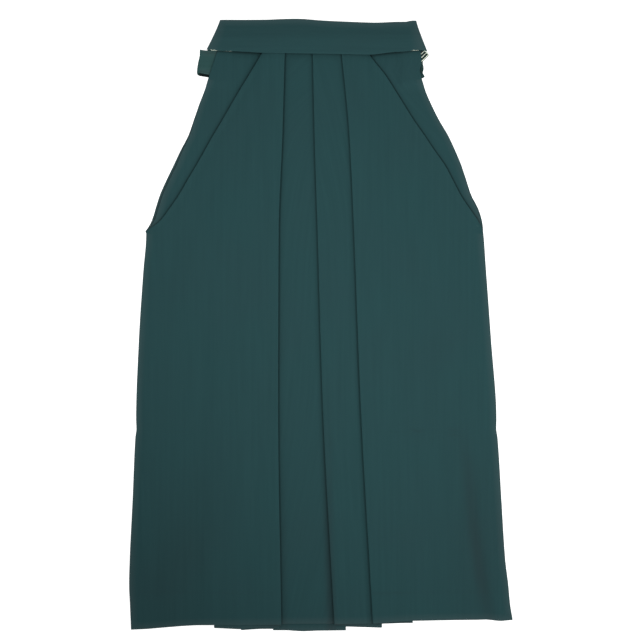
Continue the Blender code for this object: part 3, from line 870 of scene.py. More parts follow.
# The span of that sum which goes from the dark thread to the light one.
TONE_LOW, TONE_HIGH = 0.28, 0.88
CLOUD_MM = 130.0
CLOUD_SHARE = 0.12
CLOUD_GREY = "2c383e"

# Painted shade sits in the crease beside a pressed edge: millimetres from the edge, and tone. Below zero is inside a
# fold.
CREASE_SHADE_TONES = ((-3.0, 0.1), (0.0, 0.5), (1.2, 0.65), (3.2, 0.92), (10.0, 1.0))

# Painted shade mixes the cloth toward this grey, so that it looks greyer as well as darker.
PAINTED_SHADE_GREY = "272226"

# Painted light: a rolled rim is thin, and the white table shines through it and makes it a shade paler.
RIM_REACH_MM = 12.0
RIM_LIGHT_SHARE = 0.085
RIM_LIGHT_GREY = "7c7c7c"


def tone_ramp(tree, tones, source):
    """A grey ramp through (millimetres, tone) stops, read from a source in millimetres."""
    first, last = tones[0][0], tones[-1][0]
    share = add_node(
        tree, "ShaderNodeMapRange", values={"From Min": first, "From Max": last},
        links={"Value": source},
    )
    ramp = add_node(tree, "ShaderNodeValToRGB", links={"Fac": (share, "Result")})
    stops = ramp.color_ramp.elements
    for place, tone in tones[1:-1]:
        stops.new((place - first) / (last - first)).color = (tone, tone, tone, 1.0)
    stops[0].color = (tones[0][1],) * 3 + (1.0,)
    stops[len(tones) - 1].color = (tones[-1][1],) * 3 + (1.0,)
    return ramp


def woven_polyester_twill(name, light, dark, grain=0.0):
    """Dull polyester twill whose threads follow the piece's own cloth coordinates."""
    material, tree, output = new_material(name)
    cloth = add_node(tree, "ShaderNodeUVMap", {"uv_map": "cloth"})
    along_grain = add_node(
        tree, "ShaderNodeMapping",
        values={"Rotation": (0.0, 0.0, math.radians(grain))}, links={"Vector": (cloth, "UV")},
    )
    on_grain = {"Vector": (along_grain, "Vector")}
    ribs = add_node(
        tree, "ShaderNodeTexWave", {"wave_type": "BANDS", "bands_direction": "DIAGONAL"},
        {"Scale": DIAGONAL_PERIOD / (TWILL_RIB_MM * MM), "Distortion": 0.6, "Detail": 1.0}, on_grain,
    )
    wefts = add_node(
        tree, "ShaderNodeTexWave", {"wave_type": "BANDS", "bands_direction": "Y"},
        {"Scale": BAND_PERIOD / (WEFT_MM * MM), "Distortion": 0.5, "Detail": 1.0}, on_grain,
    )
    long_way = add_node(
        tree, "ShaderNodeMapping",
        values={"Scale": (1 / (STREAK_MM * MM), 1 / (STREAK_LENGTH_MM * MM), 1.0)}, links=on_grain,
    )
    streaks = add_node(
        tree, "ShaderNodeTexNoise", values={"Scale": 1.0, "Detail": 3.0, "Roughness": 0.6},
        links={"Vector": (long_way, "Vector")},
    )
    clouds = add_node(
        tree, "ShaderNodeTexNoise", values={"Scale": 1 / (CLOUD_MM * MM), "Detail": 3.0},
        links=on_grain,
    )
    weave = add_node(
        tree, "ShaderNodeMath", {"operation": "MULTIPLY_ADD"},
        {1: WEFT_SHARE}, {0: (wefts, "Fac"), 2: (ribs, "Fac")},
    )
    tone = add_node(
        tree, "ShaderNodeMath", {"operation": "MULTIPLY_ADD"},
        {1: WEAVE_SHARE}, {0: (weave, "Value"), 2: (streaks, "Fac")},
    )
    share = add_node(
        tree, "ShaderNodeMapRange", values={"From Min": TONE_LOW, "From Max": TONE_HIGH},
        links={"Value": (tone, "Value")},
    )
    thread = add_node(
        tree, "ShaderNodeMix", {"data_type": "RGBA"}, {6: linear(dark), 7: linear(light)},
        {"Factor": (share, "Result")},
    )
    warmth = add_node(
        tree, "ShaderNodeMapRange", values={"From Min": 0.3, "From Max": 0.7, "To Max": CLOUD_SHARE},
        links={"Value": (clouds, "Fac")},
    )
    clouded = add_node(
        tree, "ShaderNodeMix", {"data_type": "RGBA"}, {7: linear(CLOUD_GREY)},
        {"Factor": (warmth, "Result"), 6: (thread, 2)},
    )
    # Painted shade where the cloth lies in shade.
    deeper = add_node(tree, "ShaderNodeAttribute", {"attribute_name": "deeper"})
    shade_painted = add_node(
        tree, "ShaderNodeMix", {"data_type": "RGBA"}, {7: linear(PAINTED_SHADE_GREY)},
        {"Factor": (deeper, "Fac"), 6: (clouded, 2)},
    )
    # Painted shade beside and below the edge of a higher layer.
    beside = add_node(tree, "ShaderNodeAttribute", {"attribute_name": "beside_edge"})
    crease_shaded = add_node(
        tree, "ShaderNodeMix", {"data_type": "RGBA", "blend_type": "MULTIPLY"}, {"Factor": 1.0},
        {6: (shade_painted, 2), 7: (tone_ramp(tree, CREASE_SHADE_TONES, (beside, "Fac")), "Color")},
    )
    # Painted light at the garment's rim, where the white table shines through the cloth.
    inside = add_node(tree, "ShaderNodeAttribute", {"attribute_name": "inside_rim"})
    pale = add_node(
        tree, "ShaderNodeMapRange",
        values={"From Max": RIM_REACH_MM, "To Min": RIM_LIGHT_SHARE, "To Max": 0.0},
        links={"Value": (inside, "Fac")},
    )
    colour = add_node(
        tree, "ShaderNodeMix", {"data_type": "RGBA"}, {7: linear(RIM_LIGHT_GREY)},
        {"Factor": (pale, "Result"), 6: (crease_shaded, 2)},
    )
    bump = add_node(
        tree, "ShaderNodeBump", values={"Strength": 0.22, "Distance": 0.25 * MM},
        links={"Height": (weave, "Value")},
    )
    shader = add_node(
        tree, "ShaderNodeBsdfPrincipled",
        values={
            "Roughness": 0.78, "Specular IOR Level": 0.12, "Sheen Weight": 0.05,
            "Sheen Roughness": 0.5, "Sheen Tint": linear("8fb3b0"),
        },
        links={"Base Color": (colour, 2), "Normal": (bump, "Normal")},
    )
    tree.links.new(shader.outputs["BSDF"], output.inputs["Surface"])
    return material


panel_cloth = woven_polyester_twill("woven_polyester_twill", "25484a", "214345")
band_cloth = woven_polyester_twill("woven_polyester_twill_crosswise", "27494b", "234446", 90.0)
strap_cloth = woven_polyester_twill("woven_polyester_twill_strap", "2f5250", "2b4c4a", 90.0)
print("cloth finishes:", panel_cloth.name, band_cloth.name, strap_cloth.name)


def dress(piece, node, material, slot="hakama_cloth"):
    """Gives a finished piece its material, its body, its CAD node and its slot."""
    piece.data.materials.clear()
    piece.data.materials.append(material)
    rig.ride(piece, "root")
    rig.replaces(piece, node)
    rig.slot(piece, slot)
    return piece


# %% [markdown]
# ## The two pleated fronts
#
# Each leg's front is cut as one wide piece. The right one runs from its slanted edge to the pressed
# edge left of the middle, turns under, and comes back twice more in a second pleat that is nested
# under the first, before it goes on to the inner leg. The left one has the centre pleat and its own
# outer pleat. The order of the layers below is the order in which one would fold the cloth.

# %% Fold the fronts
RIGHT_FRONT_FOLDS = (
    "outer_run_right", "outer_return_right", "second_run", "second_return", "right_inner_run",
)
LEFT_FRONT_FOLDS = (
    "left_inner_run", "centre_return", "centre_run", "outer_return_left", "outer_run_left",
)


def folded_row(folds, row):
    """One whole row of a pleated front. It goes to and fro, the first time toward the left."""
    pairs = []
    for i, name in enumerate(folds):
        direction = 1 if i % 2 == 0 else -1
        folded_before = i > 0
        folded_after = i < len(folds) - 1
        trim_right = folded_before if direction > 0 else folded_after
        trim_left = folded_after if direction > 0 else folded_before
        pairs += run_pairs(name, row, direction, trim_right, trim_left)
        if folded_after:
            pairs += turn_pairs(name, folds[i + 1], row, direction)
    return with_round_ends(pairs)


right_rows = [folded_row(RIGHT_FRONT_FOLDS, row) for row in ROWS]
left_rows = [folded_row(LEFT_FRONT_FOLDS, row) for row in ROWS]
# The threads stay upright at one point of each row, on the outer run of each leg.
RIGHT_ANCHOR = len(right_rows[0]) // 4
LEFT_ANCHOR = len(left_rows[0]) - 10
front_right = closed_wall("cloth_front_right_leg", right_rows, RIGHT_ANCHOR)
front_left = closed_wall("cloth_front_left_leg", left_rows, LEFT_ANCHOR)
dress(front_right, "front_right_leg", panel_cloth)
dress(front_left, "front_left_leg", panel_cloth)

# %% [markdown]
# ## The two plain backs
#
# The backs lie flat on the table and hardly show: only their hems peek out under the pleats, and a
# sliver of the right one beside its side opening. They are plain panels on the same rows. The right
# leg's inner part lies on the left leg, so that part rides one step higher.

# %% Lay the backs
WAIST_SEAM = ((-180.5, 436.0), (169.5, 433.5))
BELOW_SEAM = 430.0
SEAM_ROWS = [row for row in ROWS if row.level < BELOW_SEAM]


def flat_pairs(places, y_of, z_of, beside_of, rim_of, full=1.0):
    """Pairs of points straight above each other at the given x places."""
    pairs = []
    for x in places:
        y, z = y_of(x), z_of(x)
        pairs.append(drawn_together((x, y, z + WALL), (x, y, z), full, beside_of(x), rim_of(x)))
    return pairs


def split(start, end, count):
    """Even places from start to end, both included."""
    return [start + (end - start) * i / count for i in range(count + 1)]


def back_row(name, row, places):
    """One row of a back. The first row follows the waist seam instead of its own height."""
    def y_of(x):
        if row is SEAM_ROWS[0]:
            return straight(WAIST_SEAM, x) - GAP
        return row_y(name, x, row)

    def z_of(x):
        return height(name, x, row.level)

    def beside_of(x):
        return beside_edge(name, x, y_of(x), row.level)

    def rim_of(x):
        return inside_rim(name, x, y_of(x), row.level)

    return with_round_ends(flat_pairs(places, y_of, z_of, beside_of, rim_of, row.full))


# The sliver that shows beside the right side opening has points of its own.
SLIVER_LEAST = 2.0
SLIVER_CELLS = 3
UNDER_STRIP_CELLS = 5
BACK_LEFT_CELLS = 64

back_right_rows = []
back_left_rows = []
for row in SEAM_ROWS:
    lines = lines_at(row.level)
    sliver = max(SLIVER_LEAST, straight(STRIP_INSETS["right"], row.level))
    across = split(lines["side_right"], lines["side_right"] + sliver, SLIVER_CELLS)
    across += split(across[-1], lines["tuck_right"], UNDER_STRIP_CELLS)[1:]
    across += places_between(lines, "tuck_right", "right_leg_inner")[1:]
    back_right_rows.append(back_row("back_right", row, across))
    across = split(lines["left_leg_inner"], lines["side_left"], BACK_LEFT_CELLS)
    back_left_rows.append(back_row("back_left", row, across))
back_right = closed_wall("cloth_back_right_leg", back_right_rows)
back_left = closed_wall("cloth_back_left_leg", back_left_rows)
dress(back_right, "back_right_leg", panel_cloth)
dress(back_left, "back_left_leg", panel_cloth)

# %% [markdown]
# ## The side strips
#
# Beside each slanted edge the front is folded back and shows as a narrow strip down to the side
# opening's end. At its top the strip rides over the adjuster strap, so it is lifted there and comes
# down again in a soft slope. The strip follows the back's edge, but for a sliver near its lower end
# where the back shows outside it.

# %% Lay the side strips
TUCK_MARGIN = 3.0
LIFT_RIGHT = {"from_x": -150.0, "down_to": 388.0, "height": 2 * PITCH}
LIFT_LEFT = {"from_x": 134.0, "down_to": 386.0, "height": 2 * PITCH + 1.9}
LIFT_FADE = 14.0
STRIP_TOP = 443.0
STRIP_ROWS = 66
STRIP_CELLS = 16
# Painted shade: the front's thick folded edge shades this much of the strip wholly.
SLANT_SHADE = {"right": 0.9, "left": 1.1}
# Above this height a strap lies under the strip, so that the strip's rim gets no painted light there.
STRAP_FOOT = 392.0


def side_strip(name, side, raise_by):
    """The strip beside a slanted edge, on the side -1 for right and 1 for left."""
    side_name = "right" if side < 0 else "left"
    rows = []
    for level in split(STRIP_TOP, SIDE_FOLD_END, STRIP_ROWS):
        lines = lines_at(level)
        start = lines["side_" + side_name] - side * straight(STRIP_INSETS[side_name], level)
        end = lines["tuck_" + side_name] + side * TUCK_MARGIN
        raised = raise_by["height"] * fade(raise_by["down_to"] - level, LIFT_FADE)

        def z_of(x):
            return PITCH + raised * fade(side * (raise_by["from_x"] - x), LIFT_FADE)

        def beside_of(x):
            beside = side * (x - lines["slant_" + side_name]) - SLANT_SHADE[side_name]
            return min(beside, straight(BAND_LOWER_EDGE, x) - level)

        def rim_of(x):
            return abs(x - start) if level < STRAP_FOOT else FAR

        places = split(start, end, STRIP_CELLS)
        rows.append(with_round_ends(flat_pairs(places, lambda x: level, z_of, beside_of, rim_of)))
    return closed_wall(name, rows)


strip_right = side_strip("cloth_side_fold_right", -1, LIFT_RIGHT)
strip_left = side_strip("cloth_side_fold_left", 1, LIFT_LEFT)
dress(strip_right, "side_fold_right", panel_cloth)
dress(strip_left, "side_fold_left", panel_cloth)

# %% [markdown]
# ## The waistband
#
# The waistband is a folded strip with a stiff lining, so it bridges the pleats beneath it instead of
# following each one. It is drawn from its top edge to its lower edge in rows, rises over the pleats,
# and has rounded edges because both are folds. The back's band lies flat under it and shows only as
# two small corners at the top.

# %% Shape the two bands
BAND_WALL = 2.0
BAND_LEVEL_SHARE = 0.66
# The slanted ends are a little hollow.
BAND_END_HOLLOW = 1.4
BAND_END_REACH = 30.0
BAND_CELLS_ALONG = 84
BACK_BAND_INSET = 2.0
BACK_BAND_CORNER = 0.5
BACK_CORNER_WIDTH = 9.0

# The points across the band, as shares of its height, and the share of its wall at each.
BAND_SHARES = (
    0.0, 0.008, 0.025, 0.06, 0.12, 0.2, 0.3, 0.4, 0.5, 0.6, 0.7, 0.8, 0.88, 0.94, 0.975, 0.992, 1.0,
)
BAND_FULLS = (0.4, 0.8, 0.97) + (1.0,) * 11 + (0.97, 0.8, 0.4)


def band_line(column, top_x):
    """One measure of the band beside the given place on its top edge."""
    return smooth([(row.top_x, getattr(row, column)) for row in BAND], top_x)


def band_rows(front):
    """Rows from the top edge to the lower edge, for every place along the band."""
    rows = []
    for top_x in split(BAND[0].top_x, BAND[-1].top_x, BAND_CELLS_ALONG):
        from_right, from_left = top_x - BAND[0].top_x, BAND[-1].top_x - top_x
        top_y, low_x, low_y, low_z = (band_line(name, top_x) for name in BandRow._fields[1:])
        wall = BAND_WALL
        if not front:
            corner = fade(min(from_right, from_left) - BACK_CORNER_WIDTH / 2, BACK_CORNER_WIDTH / 2)
            top_y += (BACK_BAND_CORNER + BACK_BAND_INSET) * corner - BACK_BAND_INSET
            low_y = straight(WAIST_SEAM, low_x)
            wall = WALL
        pairs = []
        for share, full in zip(BAND_SHARES, BAND_FULLS):
            hollow = BAND_END_HOLLOW * math.sin(math.pi * share)
            x = top_x + (low_x - top_x) * share
            x += hollow * (fade(from_right, BAND_END_REACH) - fade(from_left, BAND_END_REACH))
            y = top_y + (low_y - top_y) * share
            rise = fade(BAND_LEVEL_SHARE - share, BAND_LEVEL_SHARE)
            z = PITCH + (low_z - PITCH) * rise if front else 0.0
            # Painted light at the band's top edge and its ends, as at the garment's rim.
            rim = min(top_y - y, from_right, from_left)
            pairs.append(drawn_together((x, y, z + wall), (x, y, z), full, rim=rim))
        rows.append(pairs)
    return rows


band_front = closed_wall("cloth_front_waistband", band_rows(True))
band_back = closed_wall("cloth_back_waistband", band_rows(False))
dress(band_front, "front_waistband", band_cloth)
dress(band_back, "back_waistband", band_cloth)

# %% [markdown]
# ## The adjuster straps
#
# A short strap of the same cloth comes out at each end of the waistband and is folded to a loop. The right one shows
# its face and, below, the inside of the loop, darkened by painted shade. The left one is seen nearly edge on, crumpled
# by its slide, and painted shade darkens most of it. Each is drawn as two plies with a turn between them: the lower
# ply lies on the back, and the upper one gapes a little over it.

# %% Shape the straps
# The last column says how soon the strap comes out of the painted shade beside the garment: at 1 as fast as any cloth
# beside an edge does, and near 0 hardly at all.
StrapRow = namedtuple("StrapRow", "upper_y lower_y fold_x gape lit")
STRAP_RIGHT = tuple(StrapRow(*row) for row in (
    (437.8, 437.3, -192.4, 0.3, 1.0),
    (430.0, 429.5, -192.5, 0.4, 1.0),
    (417.5, 416.5, -195.0, 0.9, 1.0),
    (406.0, 404.0, -196.6, 2.2, 1.0),
    (400.9, 396.6, -196.8, 3.2, 1.0),
))
STRAP_LEFT = tuple(StrapRow(y, y, fold_x, 0.3, lit) for y, fold_x, lit in (
    (435.0, 167.0, 0.05), (433.0, 169.0, 0.05), (431.0, 170.9, 0.05), (429.5, 172.3, 0.05),
    (428.5, 172.5, 0.05), (427.0, 171.5, 0.05), (424.0, 168.5, 0.05), (421.0, 165.3, 0.1),
    (419.5, 164.0, 0.25), (418.0, 163.0, 0.4), (415.0, 163.2, 0.5), (411.0, 164.0, 0.4),
    (407.8, 164.4, 0.15), (404.0, 163.8, 0.1), (401.5, 163.0, 0.25), (399.0, 163.7, 0.5),
    (396.5, 165.4, 0.6), (395.0, 165.8, 0.6), (393.5, 164.9, 0.5), (392.3, 162.4, 0.4),
    (391.6, 160.4, 0.4),
))
STRAP_RIGHT_END = -156.0
STRAP_LEFT_END = 138.0
STRAP_RIGHT_ROWS = 48
STRAP_LEFT_ROWS = 60
STRAP_CELLS = 14
# The rounded rim at a strap's upper and lower edge: how far in, and the share of its wall there.
STRAP_RIM = ((0.0, 0.45), (0.3, 0.85))
STRAP_RIM_WIDTH = 0.8
# A strap's edge is turned in, so it gets less painted light than a thin rim: as if it lay this far inside one.
STRAP_RIM_START = 1.0

# The right strap leans: its edges fall this much for each millimetre toward the garment. At its top
# it does so only as far as the waistband's corner, under which it runs level.
STRAP_LEAN = 0.16
LEAN_LENGTH = 9.5

# The inside of its loop gets painted shade as dark as the inside of a fold.
INSIDE_LOOP_SHADE = -3.0

# A row of stitches pulls a groove into it beside each edge. The groove gets painted shade as cloth this far beside an
# edge does, and the painted shade fades away from it.
STITCH_INSET = 3.2
STITCH_GROOVE = 0.5
STITCH_GROOVE_REACH = 1.8
GROOVE_SHADE = 1.3
GROOVE_SHADE_FADE = 2.5


def strap_pairs(row, side, strip_edge, hidden_x, full, from_edge):
    """One row of a strap: the lower ply out to the fold, the turn, and the upper ply back."""
    top_of_lower = PITCH + WALL
    reach = abs(row.fold_x - strip_edge)
    outer = (2 * WALL + row.gape) / 2
    inner = row.gape / 2
    centre_x = row.fold_x - side * outer
    centre_z = top_of_lower + inner
    places = split(hidden_x, centre_x, STRAP_CELLS)
    lean = STRAP_LEAN if side < 0 else 0.0
    length = LEAN_LENGTH + STRAP_RIGHT[0].upper_y - row.upper_y
    from_stitches = abs(from_edge - STITCH_INSET)
    groove = STITCH_GROOVE * fade(from_stitches, STITCH_GROOVE_REACH) * lean / STRAP_LEAN
    lower = []
    for x in places[:-1]:
        y = row.lower_y - lean * min(x - row.fold_x, length)
        lower.append(drawn_together((x, y, PITCH), (x, y, top_of_lower), full, INSIDE_LOOP_SHADE))
    upper = []
    for x in reversed(places[:-1]):
        y = row.upper_y - lean * min(x - row.fold_x, length)
        shown = side * (x - strip_edge)
        gape = GAP + (row.gape - GAP) * (1 - fade(shown, reach))
        z = top_of_lower + gape - groove * (1 - fade(shown, reach))
        beside = min(shown * row.lit, GROOVE_SHADE + GROOVE_SHADE_FADE * from_stitches)
        rim = from_edge + STRAP_RIM_START
        upper.append(drawn_together((x, y, z + WALL), (x, y, z), full, beside, rim))
    turn = []
    for step in range(TURN_STEPS + 1):
        angle = math.pi * step / TURN_STEPS
        y = row.lower_y + (row.upper_y - row.lower_y) * step / TURN_STEPS
        turn.append(drawn_together(*(
            (centre_x + side * radius * math.sin(angle), y, centre_z - radius * math.cos(angle))
            for radius in (outer, inner)
        ), full, reach * row.lit * step / TURN_STEPS))
    return with_round_ends(lower + turn + upper)


def strap(name, table, side, hidden_x, count):
    """A strap through its measured rows, with rounded upper and lower edges."""
    upward = table[::-1]
    columns = [[(row.upper_y, row[i]) for row in upward] for i in range(len(StrapRow._fields))]
    top, bottom = table[0].upper_y, table[-1].upper_y
    levels = [(top - distance, full) for distance, full in STRAP_RIM]
    levels += [(y, 1.0) for y in split(top - STRAP_RIM_WIDTH, bottom + STRAP_RIM_WIDTH, count)]
    levels += [(bottom + distance, full) for distance, full in reversed(STRAP_RIM)]
    rows = []
    for y, full in levels:
        row = StrapRow(*(smooth(column, y) for column in columns))
        edge = lines_at(y)["side_left" if side > 0 else "side_right"]
        from_edge = min(top - y, y - bottom)
        rows.append(strap_pairs(row, side, edge, hidden_x, full, from_edge))
    return closed_wall(name, rows)


strap_right = strap(
    "cloth_adjuster_strap_right", STRAP_RIGHT, -1, STRAP_RIGHT_END, STRAP_RIGHT_ROWS,
)
strap_left = strap("cloth_adjuster_strap_left", STRAP_LEFT, 1, STRAP_LEFT_END, STRAP_LEFT_ROWS)
dress(strap_right, "adjuster_strap_right", strap_cloth)
dress(strap_left, "adjuster_strap_left", strap_cloth)

# %% [markdown]
# ## The rings and the slide
#
# The straps run through frames of plated brass wire. Each frame starts as a plane of the frame's
# size. Its corners are bevelled round, its face is deleted so that only the outline is left, and the
# outline becomes a round wire. The slide has a bar across its middle, which is what grips a strap.

# %% Plated brass
SCRATCH_MM = 0.5


def plated_brass_wire():
    """Bright pale brass: fine drawing marks along the wire break its shine a little."""
    material, tree, output = new_material("plated_brass_wire")
    place = add_node(tree, "ShaderNodeTexCoord")
    marks = add_node(
        tree, "ShaderNodeTexNoise", values={"Scale": 1 / (SCRATCH_MM * MM), "Detail": 2.0},
        links={"Vector": (place, "Object")},
    )
    rough = add_node(
        tree, "ShaderNodeMapRange", values={"To Min": 0.16, "To Max": 0.34},
        links={"Value": (marks, "Fac")},
    )
    colour = add_node(
        tree, "ShaderNodeMix", {"data_type": "RGBA"}, {6: linear("b2bbab"), 7: linear("dfe6d6")},
        {"Factor": (marks, "Fac")},
    )
    shader = add_node(
        tree, "ShaderNodeBsdfPrincipled", values={"Metallic": 1.0},
        links={"Base Color": (colour, 2), "Roughness": (rough, "Result")},
    )
    tree.links.new(shader.outputs["BSDF"], output.inputs["Surface"])
    return material


brass = plated_brass_wire()
print("metal finish:", brass.name)

# %% Bend the wire frames
FRAME_CORNER = 2.0
CORNER_STEPS = 6
# Where its middle is, its long and short side, its turn in degrees, how high it lies, how far its
# upper left corner is drawn in, and the wire's diameter.
Frame = namedtuple("Frame", "centre size turn base slant wire")
RING_RIGHT = Frame((-163.6, 441.7), (37.0, 13.0), -3.0, 5.2, 6.5, 1.6)
RING_LEFT = Frame((139.6, 440.8), (37.0, 13.0), 4.0, 7.1, 0.0, 1.6)
SLIDE_LEFT = Frame((159.4, 423.8), (28.0, 11.0), 43.8, 3.9, 0.0, 2.1)


def wire_frame(name, place, middle_bar=False):
    """A round-cornered frame of round wire, with a bar across its middle where it is a slide.

    Its upper corner at the left is drawn in by the slant, so that the end runs beside the waistband's.
    """
    long_side, short_side = ((side - place.wire) * MM for side in place.size)
    bpy.ops.object.select_all(action="DESELECT")
    bpy.ops.mesh.primitive_plane_add(size=1.0)
    wire = bpy.context.object
    wire.name = name
    bpy.ops.object.mode_set(mode="EDIT")
    bpy.ops.mesh.select_mode(type="VERT")
    bpy.ops.mesh.select_all(action="SELECT")
    bpy.ops.transform.resize(value=(long_side, short_side, 1.0))
    bpy.ops.object.mode_set(mode="OBJECT")
    for corner in wire.data.vertices:
        corner.select = corner.co.x < 0 < corner.co.y
    bpy.ops.object.mode_set(mode="EDIT")
    bpy.ops.transform.translate(value=(place.slant * MM, 0.0, 0.0))
    bpy.ops.mesh.select_all(action="SELECT")
    bpy.ops.mesh.bevel(affect="VERTICES", offset=FRAME_CORNER * MM, segments=CORNER_STEPS)
    bpy.ops.mesh.delete(type="ONLY_FACE")
    bpy.ops.object.mode_set(mode="OBJECT")
    bpy.ops.object.convert(target="CURVE")
    wire = bpy.context.object
    wire.data.dimensions = "3D"
    wire.data.bevel_depth = place.wire / 2 * MM
    wire.data.bevel_resolution = 4
    bpy.ops.object.convert(target="MESH")
    wire = bpy.context.object
    if middle_bar:
        bpy.ops.mesh.primitive_cylinder_add(
            vertices=16, radius=place.wire / 2 * MM, depth=long_side,
            rotation=(0.0, math.pi / 2, 0.0),
        )
        wire.select_set(True)
        bpy.context.view_layer.objects.active = wire
        bpy.ops.object.join()
    wire.location = [value * MM for value in (*place.centre, place.base + place.wire / 2)]
    wire.rotation_euler = (0.0, 0.0, math.radians(place.turn))
    select_only(wire)
    bpy.ops.object.transform_apply(location=True, rotation=True, scale=True)
    bpy.ops.object.shade_smooth_by_angle(angle=SMOOTH_ANGLE)
    print(name, "has", len(wire.data.polygons), "faces")
    return wire


ring_right = wire_frame("metal_strap_ring_right", RING_RIGHT)
ring_left = wire_frame("metal_strap_ring_left", RING_LEFT)
slide_left = wire_frame("metal_strap_slide_left", SLIDE_LEFT, middle_bar=True)
dress(ring_right, "strap_ring_right", brass, "slide_metal")
dress(ring_left, "strap_ring_left", brass, "slide_metal")
dress(slide_left, "strap_slide_left", brass, "slide_metal")

# %% [markdown]
# ## The stitches
#
# The hem is turned up about five centimetres and caught down from behind, so that only a tiny dash of
# thread shows at each blind stitch. A short bar of thread at the foot of each side opening keeps it
# from tearing, and a row of stitches runs along both edges of the right strap. All are the same
# small shape, so one stitch is modelled and copied. Each copy is laid on the cloth by a ray from
# above, which finds the cloth's top wherever its creases have put it.

# %% Sewing thread, and one stitch
STITCH_LONG = 2.4
STITCH_THICK = 0.45
# Shares of the thickness: how high the pressed stitch is, and how far its ends dip into the cloth.
STITCH_HIGH = 0.8
STITCH_DIP = 0.3
# Past this share of its length from the middle, a stitch dips.
STITCH_END = 0.35
TWIST_MM = 0.6


def spun_polyester_thread():
    """Thread of the cloth's own colour. The twist of its plies shows as slanted lighter bands."""
    material, tree, output = new_material("spun_polyester_thread")
    place = add_node(tree, "ShaderNodeTexCoord")
    plies = add_node(
        tree, "ShaderNodeTexWave", {"wave_type": "BANDS", "bands_direction": "DIAGONAL"},
        {"Scale": DIAGONAL_PERIOD / (TWIST_MM * MM)}, {"Vector": (place, "Object")},
    )
    colour = add_node(
        tree, "ShaderNodeMix", {"data_type": "RGBA"}, {6: linear("1b3638"), 7: linear("2b4f51")},
        {"Factor": (plies, "Fac")},
    )
    shader = add_node(
        tree, "ShaderNodeBsdfPrincipled", values={"Roughness": 0.6, "Specular IOR Level": 0.25},
        links={"Base Color": (colour, 2)},
    )
    tree.links.new(shader.outputs["BSDF"], output.inputs["Surface"])
    return material


def one_stitch():
    """A short thread that swells in its middle and dips into the cloth at both ends."""
    bpy.ops.object.select_all(action="DESELECT")
    bpy.ops.mesh.primitive_uv_sphere_add(
        segments=8, ring_count=6, radius=0.5, rotation=(0.0, math.pi / 2, 0.0),
    )
    stitch = bpy.context.object
    bpy.ops.object.transform_apply(location=True, rotation=True, scale=True)
    bpy.ops.object.mode_set(mode="EDIT")
    bpy.ops.mesh.select_mode(type="VERT")
    bpy.ops.mesh.select_all(action="SELECT")
    thick = STITCH_THICK * MM
    bpy.ops.transform.resize(value=(STITCH_LONG * MM, thick, STITCH_HIGH * thick))
    bpy.ops.object.mode_set(mode="OBJECT")
    for point in stitch.data.vertices:
        point.select = abs(point.co.x) > STITCH_END * STITCH_LONG * MM
    bpy.ops.object.mode_set(mode="EDIT")
    bpy.ops.transform.translate(value=(0.0, 0.0, -STITCH_DIP * thick))
    bpy.ops.object.mode_set(mode="OBJECT")
    bpy.ops.object.shade_smooth()
    return stitch


thread = spun_polyester_thread()
pattern = one_stitch()
print("one stitch has", len(pattern.data.polygons), "faces")

# %% Sew
HEM_STITCH_Y = -426.5
HEM_STITCH_STEP = 9.0
HEM_STITCH_LONG = 1.5
STRAP_STITCH_STEP = 2.9
STRAP_STITCH_LONG = 1.9
STRAP_STITCH_START = 2.5
STRAP_STITCH_STEPS = 4
TACK_LONG = 6.0
TACK_THREADS = 5
TACK_PITCH = 0.45
RAY_START = 0.1


def sew(name, piece, places):
    """Copies of the stitch on a piece. Each place: x, y, turn in degrees and length."""
    bpy.context.view_layer.update()
    bpy.ops.object.select_all(action="DESELECT")
    for x, y, turn, length in places:
        where = piece.ray_cast((x * MM, y * MM, RAY_START), (0.0, 0.0, -1.0))[1]
        copy = linked(name, pattern.data.copy())
        copy.location = where
        copy.rotation_euler = (0.0, 0.0, math.radians(turn))
        copy.scale = (length / STITCH_LONG, 1.0, 1.0)
        copy.select_set(True)
        bpy.context.view_layer.objects.active = copy
    bpy.ops.object.join()
    bpy.ops.object.transform_apply(location=True, rotation=True, scale=True)
    row = bpy.context.object
    row.name = row.data.name = name
    row.data.materials.clear()
    row.data.materials.append(thread)
    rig.ride(row, "root")
    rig.slot(row, "hakama_cloth")
    print(name, "has", len(places), "stitches")
    return row


def hem_places(start, end):
    """Blind stitches along the line up to which the hem is turned."""
    places = split(start, end, round((end - start) / HEM_STITCH_STEP))
    return [(x, HEM_STITCH_Y, 0.0, HEM_STITCH_LONG) for x in places]


def tack_places(x, y, turn):
    """Threads side by side across the foot of a side opening."""
    angle = math.radians(turn + 90)
    offsets = [TACK_PITCH * (i - (TACK_THREADS - 1) / 2) for i in range(TACK_THREADS)]
    return [(x + math.cos(angle) * way, y + math.sin(angle) * way, turn, TACK_LONG) for way in offsets]


def strap_edge_places():
    """Stitches along both edges of the right strap, from its fold to the side strip."""
    places = []
    turn = -math.degrees(math.atan(STRAP_LEAN))
    for row, inset in ((STRAP_RIGHT[0], -STITCH_INSET), (STRAP_RIGHT[-1], STITCH_INSET)):
        first = row.fold_x + STRAP_STITCH_START
        last = first + STRAP_STITCH_STEPS * STRAP_STITCH_STEP
        for x in split(first, last, STRAP_STITCH_STEPS):
            y = row.upper_y + inset - STRAP_LEAN * (x - row.fold_x)
            places.append((x, y, turn, STRAP_STITCH_LONG))
    return places


hem_sewn_right = sew(
    "thread_hem_right_leg", front_right, hem_places(-292.0, -72.0) + hem_places(-54.0, 12.0),
)
hem_sewn_left = sew(
    "thread_hem_left_leg", front_left, hem_places(30.0, 74.0) + hem_places(92.0, 288.0),
)
tack_right = sew("thread_tack_right", front_right, tack_places(-269.0, 148.0, 50.0))
tack_left = sew("thread_tack_left", front_left, tack_places(250.0, 157.0, -50.0))
strap_sewn = sew("thread_strap_right", strap_right, strap_edge_places())
bpy.data.objects.remove(pattern)

# A front is cut nearly seven tenths of a metre wide at the hem and much narrower at the waist, so
# its area is given too.

